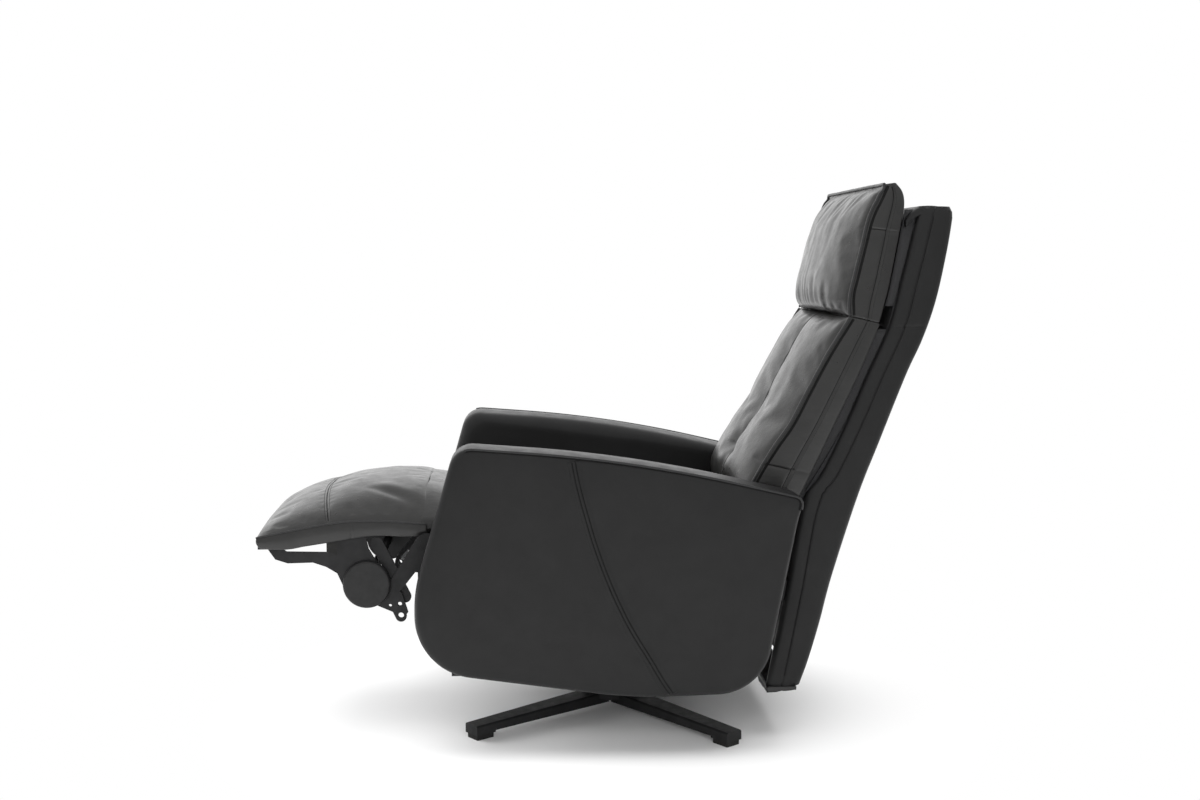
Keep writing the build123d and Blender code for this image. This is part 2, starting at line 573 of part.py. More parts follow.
def build_back():
    """Shell, frame, panel, cushion with its rails, and the skirt below."""
    half = arm_inner - shell_side_gap
    hinge_y, hinge_z = recline_pivot

    def shell_outline(rear_in, top_in, open_front):
        rear = [(650 - rear_in, 1046 - top_in), (630 - rear_in, 915), (598 - rear_in, 802)]
        low = [(516 - rear_in, 594), (427 - rear_in, 330)]
        foot = [(402 - rear_in, 230), (366 - rear_in, 112)]
        toe = (294 - open_front, 100)
        knee = (363 - open_front, 484)
        neck = (530 - open_front, 825)
        brow = (583 - open_front, 1056 - top_in)
        sides = [
            ThreePointArc(*rear), ThreePointArc(rear[2], *low), ThreePointArc(low[1], *foot),
            Polyline(foot[1], toe, knee),
            ThreePointArc(knee, (451 - open_front, 640), neck),
            ThreePointArc(neck, (561 - open_front, 947), brow), Line(brow, rear[0])]
        return make_face(sides)

    hollow = slab(shell_outline(shell_wall, shell_wall, 90), shell_wall - half, half - shell_wall)
    floor_cut = Pos(0, hinge_y, shell_bottom / 2) * Box(4 * half, 4 * half, shell_bottom)
    shell = slab(shell_outline(0, 0, 0), -half, half)
    nodes["back_shell"] = shell - hollow - floor_cut

    front = [(370, 500), (451, 640), (530, 825), (561, 947), (579, 1028)]
    panel_line = [ThreePointArc(*front[:3]), ThreePointArc(*front[2:])]
    shifted = [(y + back_panel_thickness, z) for y, z in front]
    panel_line += [ThreePointArc(*shifted[:3]), ThreePointArc(*shifted[2:])]
    panel_line += [Line(front[0], shifted[0]), Line(front[-1], shifted[-1])]
    panel_half = half - shell_wall - air
    nodes["back_panel"] = slab(make_face(panel_line), -panel_half, panel_half)

    plate_out = arm_inner - side_plate_thickness - air
    plate_in = plate_out - 14
    bend = [(hinge_y + 60, hinge_z), (546, 770), (608, 1004)]
    frame = Part()
    for low, high in zip(bend, bend[1:]):
        run = Line((back_tube_x, *low), (back_tube_x, *high))
        tube = sweep(Plane(run @ 0, z_dir=run % 0) * Circle(back_tube_radius), run)
        frame += both(tube)
    for place in bend:
        frame += slab(disc(place, back_tube_radius), -back_tube_x - back_tube_radius, back_tube_x + back_tube_radius)
    ear = link_outline(recline_pivot, bend[0], recline_lug_radius - 3, back_tube_radius + 6)
    ear -= disc(recline_pivot, recline_pin_radius + running_fit)
    frame += both(slab(ear, plate_in, plate_out))
    frame += both(slab(disc(bend[0], back_tube_radius), back_tube_x, plate_out))
    turn = (recline_back - recline_upright) / 2
    reach = back_crank / cos(radians((recline_back + recline_upright) / 2)) + 3
    tip = (hinge_y + reach * sin(radians(turn)), hinge_z - reach * cos(radians(turn)))
    lever = link_outline(bend[0], tip, back_tube_radius + 6, drive_pin_radius + slot_play + crank_rim)
    lever -= radial_slot(recline_pivot, back_crank - 4, reach, drive_pin_radius + slot_play, turn)
    frame += [slab(lever, back_crank_x + side * crank_half_gap,
                   back_crank_x + side * (crank_half_gap + crank_thickness)) for side in (-1, 1)]
    nodes["back_frame"] = frame

    def section(share):
        rise = back_crown * share
        low_front, high_front = (238 - 0.3 * rise, 476), (454, 839)
        middle = (342 - 0.86 * rise, 650 + 0.5 * rise)
        sides = [
            ThreePointArc(low_front, middle, high_front),
            Line(high_front, (508, 828)),
            ThreePointArc((508, 828), (424, 633), (336, 444)),
            Line((336, 444), (266, 444)),
            ThreePointArc((266, 444), (246 - 0.3 * rise, 454), low_front)]
        return make_face(sides)

    half_cushion = arm_inner - cushion_side_gap
    cushion = crowned_halves(section, half_cushion, seam_depth / back_crown)
    groove = slab(disc(head_pivot, head_knuckle_radius + clear), -arm_inner, arm_inner)
    nodes["back_cushion"] = cushion - groove
    rail = make_face(Polyline((425.5, 633), (496.5, 800), (518.8, 800), (447.4, 634), close=True))
    nodes["cushion_rails"] = group(both(slab(rail, 130, 170)))
    hem_line = ((292, shell_bottom), (364, shell_bottom), (357, shell_bottom - 0.3 * skirt_drop))
    hem_toe = (297, shell_bottom - skirt_drop)
    hem = make_face([
        Polyline(*hem_line), Line(hem_toe, hem_line[0]),
        ThreePointArc(hem_line[2], (328, shell_bottom - 0.5 * skirt_drop), hem_toe)])
    nodes["back_skirt"] = slab(hem, -half, half)
    build_head_hinge()


def hinge_strap(start, end, thickness, knuckle_bore):
    """Knuckle round the head pivot with a flat strap from start to end, thickness measured upwards."""
    strip = make_face(Polyline(
        start, end, (end[0], end[1] + thickness), (start[0], start[1] + thickness), close=True))
    return strip + disc(head_pivot, head_knuckle_radius) - disc(head_pivot, knuckle_bore)


def build_head_hinge():
    """Rod in the crease on two straps that run back to the panel."""
    pivot_y, pivot_z = head_pivot
    strap = hinge_strap((pivot_y, 837.9), (529.8, 824.4), head_strap_thickness, head_rod_radius / 2)
    near, far = head_strap_x + 40, head_strap_x + 40 + head_strap_width
    rod = slab(disc(head_pivot, head_rod_radius), -far, far)
    nodes["head_hinge"] = Part() + rod + both(slab(strap, near, far))


def build_head():
    """Head cushion on its plate, which turns on a rod in the crease above the back cushion."""
    def section(share):
        rise = head_crown * share
        low_front, high_front = (450, 853), (512, 1100)
        sides = [
            ThreePointArc(low_front, (468 - rise, 978 + 0.1 * rise), high_front),
            ThreePointArc(high_front, (536, 1108), (555, 1078)),
            Line((555, 1078), (515, 841)),
            Line((515, 841), low_front)]
        return make_face(sides)

    cushion = crowned(section, head_half_width)
    groove = slab(disc(head_pivot, head_knuckle_radius + clear), -arm_inner, arm_inner)
    nodes["head_cushion"] = cushion - groove
    plate = make_face(Polyline(
        (515.4, 837.4), (555.4, 1076), (555.4 + head_plate_thickness, 1076), (515.4 + head_plate_thickness, 837.4),
        close=True))
    strap = hinge_strap((head_pivot[0], 847.4), (517, 837.4), head_strap_thickness, head_rod_radius + running_fit)
    arms = both(slab(strap, head_strap_x, head_strap_x + head_strap_width))
    nodes["head_plate"] = Part() + slab(plate, -head_plate_half, head_plate_half) + arms


def main():
    """Builds every piece and writes one file for each."""
    os.makedirs("parts", exist_ok=True)
    build_base()
    frame_bottom = build_swivel()
    plates = build_lift(frame_bottom)
    build_seat(*plates)
    build_arms()
    build_controls()
    build_footrest()
    build_back()
    build_head()
    for name, part in nodes.items():
        export_step(Pos(0, front_to_middle, 0) * part, f"parts/{name}.step")


main()
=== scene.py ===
"""Looks of the swivel lift chair: leather soft goods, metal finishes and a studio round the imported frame."""

import json
import logging
import math
from dataclasses import dataclass, field
from enum import Enum
from typing import Callable, Optional, Sequence

import bmesh
import bpy
import numpy as np
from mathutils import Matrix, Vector, noise
from mathutils.bvhtree import BVHTree


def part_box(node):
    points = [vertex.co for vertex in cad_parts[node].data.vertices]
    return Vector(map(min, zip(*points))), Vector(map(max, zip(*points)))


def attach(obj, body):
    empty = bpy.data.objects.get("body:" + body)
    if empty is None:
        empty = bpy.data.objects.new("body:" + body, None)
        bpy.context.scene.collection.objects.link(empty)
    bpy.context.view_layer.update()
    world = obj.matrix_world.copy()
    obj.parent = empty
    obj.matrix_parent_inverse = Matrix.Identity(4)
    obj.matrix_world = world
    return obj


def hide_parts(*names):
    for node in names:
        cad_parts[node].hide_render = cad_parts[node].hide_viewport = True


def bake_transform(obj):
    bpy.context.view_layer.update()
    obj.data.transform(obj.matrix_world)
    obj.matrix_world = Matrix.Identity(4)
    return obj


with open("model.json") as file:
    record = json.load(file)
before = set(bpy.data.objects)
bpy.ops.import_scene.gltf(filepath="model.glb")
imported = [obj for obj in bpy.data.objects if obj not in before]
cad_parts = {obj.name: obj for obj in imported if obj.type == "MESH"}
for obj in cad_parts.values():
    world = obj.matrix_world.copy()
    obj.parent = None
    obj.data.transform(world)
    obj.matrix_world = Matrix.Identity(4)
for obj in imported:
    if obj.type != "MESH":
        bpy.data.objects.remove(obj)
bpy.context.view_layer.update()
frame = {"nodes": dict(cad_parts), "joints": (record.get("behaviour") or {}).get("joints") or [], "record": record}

Place = tuple[float, float]
Array = np.ndarray
Shape = Callable[[Array, Array, Array], Array]

MM = 0.001
ARC_POINTS = 20
SEAM_STATIONS = (-2.0, -1.2, -0.6, 0.0, 0.6, 1.2, 2.0)
SEAM_CLEARANCE = 2.2
SEAM_STEP = 5.0
SEAM_DEPTH = 0.2
log = logging.getLogger("chair")


def joint_place(name: str) -> Vector:
    """Place of a joint of the frame.

    Args:
        name: the joint's name in the record.

    Returns:
        Its position at rest, in metres.
    """
    return Vector(next(j for j in frame["joints"] if j["name"] == name)["pos_m"])


SWIVEL_Y = joint_place("swivel").y


def metres(points: Array) -> Array:
    """Turns millimetres measured from the swivel axis on the floor into the frame's metres.

    Args:
        points: rows of x, y, z.

    Returns:
        The same rows in the frame.
    """
    return np.asarray(points, float) * MM + np.array((0.0, SWIVEL_Y, 0.0))


def puff(distance: Array, rise: float, reach: float) -> Array:
    """Swell of a stuffed panel away from its seam: nothing at the seam, the full rise a few reaches in."""
    return rise * (1.0 - np.exp(-np.maximum(distance, 0.0) / reach))


def dent(distance: Array, depth: float, width: float) -> Array:
    """Groove of a seam, as a smooth dip of that depth at distance 0."""
    return -depth * np.exp(-(distance / width) ** 2)


def ripple(points: Array, scale: Sequence[float], octaves: int = 2) -> Array:
    """Smooth noise from -1 to 1 that makes leather look handled.

    Args:
        points: rows of x, y, z in millimetres.
        scale: wavelength along each axis, in millimetres.
        octaves: layers of ever finer noise.

    Returns:
        One value a row.
    """
    scaled = points / np.asarray(scale, float)
    total = np.zeros(len(scaled))
    for octave in range(octaves):
        total += [noise.noise(Vector(p) * 2.0 ** octave) / 2.0 ** octave for p in scaled]
    return total


class SideLine:
    """Smooth curve in the side view through a few places, walked from 0 to 1 by its length."""

    def __init__(self, places: Sequence[Place], steps: int = 24) -> None:
        """Fits a Catmull-Rom curve.

        Args:
            places: (y, z) pairs in millimetres.
            steps: points on each span.
        """
        knots = np.array(places, float)
        padded = np.vstack([2 * knots[0] - knots[1], knots, 2 * knots[-1] - knots[-2]])
        t = np.linspace(0.0, 1.0, steps, endpoint=False)[:, None]
        spans = []
        for a, b, c, d in zip(padded, padded[1:], padded[2:], padded[3:]):
            spans.append(0.5 * (2 * b + (c - a) * t + (2 * a - 5 * b + 4 * c - d) * t ** 2
                                + (3 * b - a - 3 * c + d) * t ** 3))
        self.points = np.vstack([*spans, knots[-1:]])
        run = np.hypot(*np.diff(self.points, axis=0).T)
        self.length = float(run.sum())
        self.share = np.concatenate([[0.0], np.cumsum(run)]) / self.length

    def at(self, t: Array) -> Array:
        """Places at shares t of the length, as rows of y, z."""
        return np.stack([np.interp(t, self.share, column) for column in self.points.T], axis=-1)

    def normal(self, t: Array) -> Array:
        """Unit normals at shares t, to the left of the walk."""
        step = 0.004
        along = self.at(np.minimum(t + step, 1.0)) - self.at(np.maximum(t - step, 0.0))
        across = np.stack([-along[..., 1], along[..., 0]], axis=-1)
        return across / np.linalg.norm(across, axis=-1, keepdims=True)

    def share_at_height(self, z: float) -> float:
        """Share of the length where the curve first reaches a height."""
        return float(self.share[int(np.argmax(self.points[:, 1] >= z))])


def rounded_outline(corners: Sequence[tuple[float, float, float]], count: int) -> Array:
    """Closed outline of straight sides and arcs.

    Args:
        corners: (y, z, radius) of each corner, in order.
        count: even points wanted along it.

    Returns:
        Rows of y, z.
    """
    points = []
    places = [np.array(c[:2], float) for c in corners]
    for before, place, after, corner in zip(places[-1:] + places, places, places[1:] + places[:1], corners):
        to_before = (before - place) / np.linalg.norm(before - place)
        to_after = (after - place) / np.linalg.norm(after - place)
        half = 0.5 * math.acos(float(np.clip(to_before @ to_after, -1.0, 1.0)))
        middle = (to_before + to_after) / np.linalg.norm(to_before + to_after)
        centre = place + middle * corner[2] / math.sin(half)
        start = place + to_before * corner[2] / math.tan(half) - centre
        end = place + to_after * corner[2] / math.tan(half) - centre
        angle = math.atan2(start[1], start[0])
        sweep = (math.atan2(end[1], end[0]) - angle + math.pi) % (2 * math.pi) - math.pi
        for step in np.linspace(0.0, 1.0, ARC_POINTS):
            turn = angle + sweep * step
            points.append(centre + corner[2] * np.array((math.cos(turn), math.sin(turn))))
    ring = np.array(points + points[:1])
    run = np.concatenate([[0.0], np.cumsum(np.hypot(*np.diff(ring, axis=0).T))])
    even = np.linspace(0.0, run[-1], count, endpoint=False)
    return np.stack([np.interp(even, run, column) for column in ring.T], axis=-1)


def spaced(count: int, low: float, high: float, seams: Sequence[tuple[float, float]] = ()) -> Array:
    """Even stations from low to high, with a few close ones at each seam.

    Args:
        count: even cells.
        low: first station.
        high: last station.
        seams: (station, groove width) of each seam, in the stations' own units.

    Returns:
        The sorted stations.
    """
    stations = list(np.linspace(low, high, count + 1))
    for seam, width in seams:
        stations = [s for s in stations if abs(s - seam) > SEAM_CLEARANCE * width or s in (low, high)]
        stations += [seam + width * k for k in SEAM_STATIONS]
    inside = [s for s in stations if low <= s <= high]
    return np.array(sorted(set(np.round(inside, 6))))


def new_object(name: str, points: Array, faces: Sequence[Sequence[int]]) -> bpy.types.Object:
    """Makes a smooth mesh object, with its place in its mesh and its faces turned outwards.

    Args:
        name: the piece's name.
        points: rows of x, y, z in chair millimetres.
        faces: vertex numbers of each face.

    Returns:
        The new object.
    """
    mesh = bpy.data.meshes.new(name)
    mesh.from_pydata(metres(points).tolist(), [], faces)
    mesh.validate()
    edit = bmesh.new()
    edit.from_mesh(mesh)
    bmesh.ops.remove_doubles(edit, verts=edit.verts, dist=1e-6)
    bmesh.ops.recalc_face_normals(edit, faces=edit.faces)
    for face in edit.faces:
        face.smooth = True
    edit.to_mesh(mesh)
    edit.free()
    piece = bpy.data.objects.new(name, mesh)
    bpy.context.collection.objects.link(piece)
    return piece


def lattice(name: str, us: Array, vs: Array, ws: Array, shape: Shape) -> bpy.types.Object:
    """Closed box of quads whose points a shaping function sets.

    Args:
        name: the piece's name.
        us: stations along the piece.
        vs: stations through its thickness.
        ws: stations across it.
        shape: gives rows of x, y, z in chair millimetres for arrays of u, v and w.

    Returns:
        The new object.
    """
    counts = (len(us), len(vs), len(ws))
    index: dict[tuple[int, int, int], int] = {}
    faces = []
    for axis in range(3):
        first, second = [a for a in range(3) if a != axis]
        for side in (0, counts[axis] - 1):
            for i in range(counts[first] - 1):
                for k in range(counts[second] - 1):
                    face = []
                    for di, dk in ((0, 0), (1, 0), (1, 1), (0, 1)):
                        key = [0, 0, 0]
                        key[axis], key[first], key[second] = side, i + di, k + dk
                        face.append(index.setdefault(tuple(key), len(index)))
                    faces.append(face)
    keys = np.array(list(index))
    points = shape(us[keys[:, 0]], vs[keys[:, 1]], ws[keys[:, 2]])
    return new_object(name, points, faces)


def slab(name: str, counts: tuple[int, int, int], shape: Shape) -> bpy.types.Object:
    """Closed box of quads with even stations: along and through from 0 to 1, across from -1 to 1.

    Args:
        name: the piece's name.
        counts: stations along, through and across it.
        shape: gives rows of x, y, z in chair millimetres for arrays of u, v and w.

    Returns:
        The new object.
    """
    along, through, across = counts
    return lattice(name, spaced(along, 0.0, 1.0), spaced(through, 0.0, 1.0), spaced(across, -1.0, 1.0), shape)


def settle(piece: bpy.types.Object, held: Callable[[Array], Array], slack: float, cap: float,
           frames: int = 16) -> None:
    """Lets a cushion's cover swell under air pressure with its seams held, and keeps the result.

    Args:
        piece: the cushion.
        held: tells for rows of x, y, z in chair millimetres which points are sewn down.
        slack: extra leather in the cover, as a share of its size.
        cap: the most that a point may move, in millimetres.
        frames: steps of the simulation.
    """
    count = len(piece.data.vertices)
    rest = np.empty(count * 3)
    piece.data.vertices.foreach_get("co", rest)
    rest = rest.reshape(-1, 3)
    sewn = np.flatnonzero(held((rest - np.array((0.0, SWIVEL_Y, 0.0))) / MM))
    group = piece.vertex_groups.new(name="sewn")
    group.add(sewn.tolist(), 1.0, "REPLACE")
    cover = piece.modifiers.new("cover", "CLOTH")
    leather = cover.settings
    leather.quality = 6
    leather.mass = 0.35
    leather.tension_stiffness = leather.compression_stiffness = 22.0
    leather.shear_stiffness = 9.0
    leather.bending_stiffness = 12.0
    leather.air_damping = 6.0
    leather.use_pressure = True
    leather.uniform_pressure_force = 4.0
    leather.shrink_min = -slack
    leather.vertex_group_mass = group.name
    leather.effector_weights.gravity = 0.0
    cover.collision_settings.use_collision = False
    cover.point_cache.frame_start = 1
    cover.point_cache.frame_end = frames
    scene = bpy.context.scene
    for step in range(1, frames + 1):
        scene.frame_set(step)
    swollen = piece.evaluated_get(bpy.context.evaluated_depsgraph_get()).to_mesh()
    moved = np.empty(count * 3)
    swollen.vertices.foreach_get("co", moved)
    shift = moved.reshape(-1, 3) - rest
    reach = np.linalg.norm(shift, axis=1, keepdims=True)
    shift *= np.minimum(1.0, cap * MM / np.maximum(reach, 1e-9))
    piece.modifiers.remove(cover)
    piece.vertex_groups.remove(group)
    piece.data.vertices.foreach_set("co", (rest + shift).ravel())
    piece.data.update()
    scene.frame_set(1)
    log.info("%s swelled by up to %.1f mm", piece.name, float(np.linalg.norm(shift, axis=1).max()) / MM)


def refine(piece: bpy.types.Object) -> None:
    """Rounds a cushion's mesh by one applied subdivision."""
    rounding = piece.modifiers.new("rounding", "SUBSURF")
    rounding.levels = rounding.render_levels = 1
    bpy.ops.object.select_all(action="DESELECT")
    piece.select_set(True)
    bpy.context.view_layer.objects.active = piece
    bpy.ops.object.modifier_apply(modifier=rounding.name)


def tube(name: str, path: Array, radius: float, closed: bool = False) -> bpy.types.Object:
    """Piping or a painted seam shadow line along a path, made as a bevelled curve and turned into a mesh.

    Args:
        name: the piece's name.
        path: rows of x, y, z in chair millimetres.
        radius: of its section, in millimetres.
        closed: whether the path returns to its start.

    Returns:
        The new object.
    """
    curve = bpy.data.curves.new(name, "CURVE")
    curve.dimensions = "3D"
    curve.bevel_depth = radius * MM
    curve.bevel_resolution = 3
    curve.use_fill_caps = not closed
    spline = curve.splines.new("POLY")
    spline.points.add(len(path) - 1)
    spline.use_cyclic_u = closed
    for point, place in zip(spline.points, metres(path)):
        point.co = (*place, 1.0)
    guide = bpy.data.objects.new(name + "_guide", curve)
    bpy.context.collection.objects.link(guide)
    bpy.ops.object.select_all(action="DESELECT")
    guide.select_set(True)
    bpy.context.view_layer.objects.active = guide
    bpy.ops.object.convert(target="MESH")
    piece = bpy.context.view_layer.objects.active
    piece.name = name
    piece.data.name = name
    bpy.ops.object.shade_smooth()
    return piece


def mirrored(piece: bpy.types.Object, name: str) -> bpy.types.Object:
    """Copy of a piece on the other side of the chair, with its own mesh.

    Args:
        piece: the piece on the left.
        name: the copy's name.

    Returns:
        The copy.
    """
    copy = piece.copy()
    copy.data = piece.data.copy()
    copy.name = copy.data.name = name
    bpy.context.collection.objects.link(copy)
    edit = bmesh.new()
    edit.from_mesh(copy.data)
    bmesh.ops.scale(edit, verts=edit.verts, vec=(-1.0, 1.0, 1.0))
    bmesh.ops.reverse_faces(edit, faces=edit.faces)
    edit.to_mesh(copy.data)
    edit.free()
    return copy


def surface_of(piece: bpy.types.Object) -> BVHTree:
    """Search tree of a piece's own mesh, for laying thread on it."""
    edit = bmesh.new()
    edit.from_mesh(piece.data)
    tree = BVHTree.FromBMesh(edit)
    edit.free()
    return tree


def laid_on(tree: BVHTree, path: Array, lift: float = 0.0) -> tuple[Array, Array]:
    """Moves a path to the nearest places on a surface.

    Args:
        tree: the surface.
        path: rows of x, y, z in chair millimetres.
        lift: how far to stand off the surface, in millimetres.

    Returns:
        The laid path in chair millimetres, and the surface's normals there.
    """
    places, normals = [], []
    for point in metres(path):
        place, normal, _, _ = tree.find_nearest(Vector(point))
        places.append(np.array(place + normal * lift * MM))
        normals.append(np.array(normal))
    laid = (np.array(places) - np.array((0.0, SWIVEL_Y, 0.0))) / MM
    return laid, np.array(normals)


def even_walk(path: Array, pitch: float) -> Array:
    """Points every pitch millimetres along a path of x, y, z rows."""
    run = np.concatenate([[0.0], np.cumsum(np.linalg.norm(np.diff(path, axis=0), axis=1))])
    stations = np.arange(pitch / 2, run[-1], pitch)
    return np.stack([np.interp(stations, run, column) for column in path.T], axis=-1)


@dataclass(frozen=True)
class Thread:
    """A row of sewn stitches."""

    pitch: float = 4.6
    length: float = 3.5
    radius: float = 0.48
    proud: float = 0.15

    def sew(self, name: str, surface: bpy.types.Object, path: Array) -> bpy.types.Object:
        """Lays one bean-shaped stitch after another along a path on a surface.

        Args:
            name: the piece's name.
            surface: what is sewn.
            path: rows of x, y, z in chair millimetres, on or near the surface.

        Returns:
            One object of all the stitches.
        """
        places, normals = laid_on(surface_of(surface), even_walk(path, self.pitch), self.proud * self.radius)
        along = np.gradient(places, axis=0)
        along /= np.linalg.norm(along, axis=1, keepdims=True)
        across = np.cross(normals, along)
        points, faces = [], []
        sides = 6
        rings = ((-1.0, 0.35), (-0.7, 0.85), (0.0, 1.0), (0.7, 0.85), (1.0, 0.35))
        for place, ahead, side, up in zip(places, along, across, normals):
            start = len(points)
            for reach, girth in rings:
                for k in range(sides):
                    turn = 2 * math.pi * k / sides
                    points.append(place + ahead * reach * self.length / 2
                                  + self.radius * girth * (side * math.cos(turn) + up * math.sin(turn)))
            for ring in range(len(rings) - 1):
                for k in range(sides):
                    a, b = start + ring * sides + k, start + ring * sides + (k + 1) % sides
                    faces.append((a, b, b + sides, a + sides))
            faces.append(tuple(range(start, start + sides)))
            faces.append(tuple(range(start + sides * (len(rings) - 1), start + sides * len(rings))))
        return new_object(name, np.array(points), faces)


def seam_shadow_line(name: str, surface: bpy.types.Object, path: Array, radius: float = 0.9) -> bpy.types.Object:
    """Painted shadow line laid into a seam's groove, where two panels meet.

    Args:
        name: the piece's name.
        surface: what is sewn.
        path: rows of x, y, z in chair millimetres, on or near the seam.
        radius: of the line, in millimetres.

    Returns:
        The new object.
    """
    laid, _ = laid_on(surface_of(surface), even_walk(path, SEAM_STEP), -SEAM_DEPTH)
    return tube(name, laid, radius)


class Nodes:
    """Helper that wires a material's nodes."""

    def __init__(self, name: str) -> None:
        """Starts a material with one principled shader.

        Args:
            name: the material's name.
        """
        self.material = bpy.data.materials.new(name)
        self.material.use_nodes = True
        self.tree = self.material.node_tree
        self.shader = self.tree.nodes["Principled BSDF"]
        self.coords = self.tree.nodes.new("ShaderNodeTexCoord").outputs["Object"]

    def add(self, kind: str, links: Optional[dict] = None, values: Optional[dict] = None,
            **settings: object) -> bpy.types.Node:
        """Adds one node.

        Args:
            kind: Blender's name of the node type.
            links: socket name or number to the output that feeds it.
            values: socket name or number to a constant.
            settings: properties of the node itself.

        Returns:
            The node.
        """
        node = self.tree.nodes.new(kind)
        for key, value in settings.items():
            setattr(node, key, value)
        for key, value in (values or {}).items():
            node.inputs[key].default_value = value
        for key, source in (links or {}).items():
            self.tree.links.new(source, node.inputs[key])
        return node

    def noise(self, size_mm: float, detail: float = 3.0, roughness: float = 0.55,
              stretch: Sequence[float] = (1.0, 1.0, 1.0)) -> bpy.types.NodeSocket:
        """Noise of a given grain, read in the piece's own place.

        Args:
            size_mm: size of one blot.
            detail: layers of finer noise.
            roughness: strength of the finer layers.
            stretch: how much longer the blots are along each axis.

        Returns:
            Its value.
        """
        scale = [1.0 / (size_mm * MM * s) for s in stretch]
        turned = self.add("ShaderNodeMapping", {"Vector": self.coords}, {"Scale": scale})
        blots = self.add("ShaderNodeTexNoise", {"Vector": turned.outputs[0]},
                         {"Scale": 1.0, "Detail": detail, "Roughness": roughness})
        return blots.outputs["Fac"]

    def ramp(self, value: bpy.types.NodeSocket, low: float, high: float, out_low: float,
             out_high: float) -> bpy.types.NodeSocket:
        """Maps a value's range onto another, clamped."""
        node = self.add("ShaderNodeMapRange", {"Value": value}, {
            "From Min": low, "From Max": high, "To Min": out_low, "To Max": out_high})
        return node.outputs[0]

    def mix(self, share: bpy.types.NodeSocket, first: Sequence[float],
            second: Sequence[float]) -> bpy.types.NodeSocket:
        """Mixes two colours by a share."""
        node = self.add("ShaderNodeMix", {"Factor": share}, data_type="RGBA")
        node.inputs[6].default_value = (*first, 1.0)
        node.inputs[7].default_value = (*second, 1.0)
        return node.outputs[2]

    def math(self, operation: str, first: bpy.types.NodeSocket,
             second: bpy.types.NodeSocket | float) -> bpy.types.NodeSocket:
        """Joins two values by arithmetic; second is a socket or a number."""
        node = self.add("ShaderNodeMath", {0: first}, operation=operation)
        if isinstance(second, (int, float)):
            node.inputs[1].default_value = second
        else:
            self.tree.links.new(second, node.inputs[1])
        return node.outputs[0]

    def bump(self, height: bpy.types.NodeSocket, depth_mm: float,
             below: Optional[bpy.types.NodeSocket] = None) -> bpy.types.NodeSocket:
        """Relief of a given depth, over another relief if one is given."""
        links = {"Height": height}
        if below is not None:
            links["Normal"] = below
        node = self.add("ShaderNodeBump", links, {"Strength": 1.0, "Distance": depth_mm * MM})
        return node.outputs[0]

    def dress(self, links: Optional[dict] = None, values: Optional[dict] = None) -> bpy.types.Material:
        """Feeds the shader and gives the material.

        Args:
            links: shader socket to the output that feeds it.
            values: shader socket to a constant.

        Returns:
            The finished material.
        """
        for key, value in (values or {}).items():
            self.shader.inputs[key].default_value = value
        for key, source in (links or {}).items():
            self.tree.links.new(source, self.shader.inputs[key])
        return self.material


@dataclass(frozen=True)
class Leather:
    """Smooth black hide with a fine pebble, handled to a soft sheen."""

    name: str
    dark: tuple[float, float, float]
    light: tuple[float, float, float]
    roughness: tuple[float, float]
    gloss: float = 0.42
    pebble_mm: float = 1.5
    pebble_depth_mm: float = 0.09
    crease_depth_mm: float = 0.5
    crease_mm: float = 14.0
    pore_mm: float = 0.7
    cloud_mm: float = 60.0
    sheen_mm: float = 28.0

    def material(self) -> bpy.types.Material:
        """Grain, pores, soft creases and a cloudy tone."""
        n = Nodes(self.name)
        cloud = n.noise(self.cloud_mm, 4.0, 0.6)
        tone = n.ramp(cloud, 0.32, 0.70, 0.0, 1.0)
        colour = n.mix(tone, self.dark, self.light)
        cells = n.add("ShaderNodeTexVoronoi", {"Vector": n.coords},
                      {"Scale": 1.0 / (self.pebble_mm * MM), "Smoothness": 0.6}, feature="SMOOTH_F1")
        pores = n.noise(self.pore_mm, 2.0)
        grain = n.math("ADD", cells.outputs["Distance"], n.math("MULTIPLY", pores, 0.5))
        crease = n.noise(self.crease_mm, 4.0, 0.62, (1.0, 1.5, 0.7))
        folds = n.bump(crease, self.crease_depth_mm)
        relief = n.bump(grain, self.pebble_depth_mm, folds)
        sheen = n.ramp(n.noise(self.sheen_mm, 3.0), 0.3, 0.7, *self.roughness)
        return n.dress({"Base Color": colour, "Roughness": sheen, "Normal": relief},
                       {"Specular IOR Level": self.gloss})


@dataclass(frozen=True)
class PowderCoat:
    """Matt black paint with a fine orange peel and faint blotches."""

    name: str
    dark: tuple[float, float, float] = (0.006, 0.006, 0.0063)
    light: tuple[float, float, float] = (0.012, 0.012, 0.0125)
    roughness: tuple[float, float] = (0.46, 0.62)
    peel_mm: float = 0.9
    peel_depth_mm: float = 0.05
    gloss: float = 0.24
    blotch_mm: float = 35.0
    sheen_mm: float = 18.0

    def material(self) -> bpy.types.Material:
        """Peel, faint blotches and a varying gloss."""
        n = Nodes(self.name)
        blotch = n.noise(self.blotch_mm, 4.0)
        colour = n.mix(n.ramp(blotch, 0.35, 0.7, 0.0, 1.0), self.dark, self.light)
        relief = n.bump(n.noise(self.peel_mm, 2.0), self.peel_depth_mm)
        sheen = n.ramp(n.noise(self.sheen_mm, 3.0), 0.3, 0.7, *self.roughness)
        return n.dress({"Base Color": colour, "Roughness": sheen, "Normal": relief},
                       {"Specular IOR Level": self.gloss})


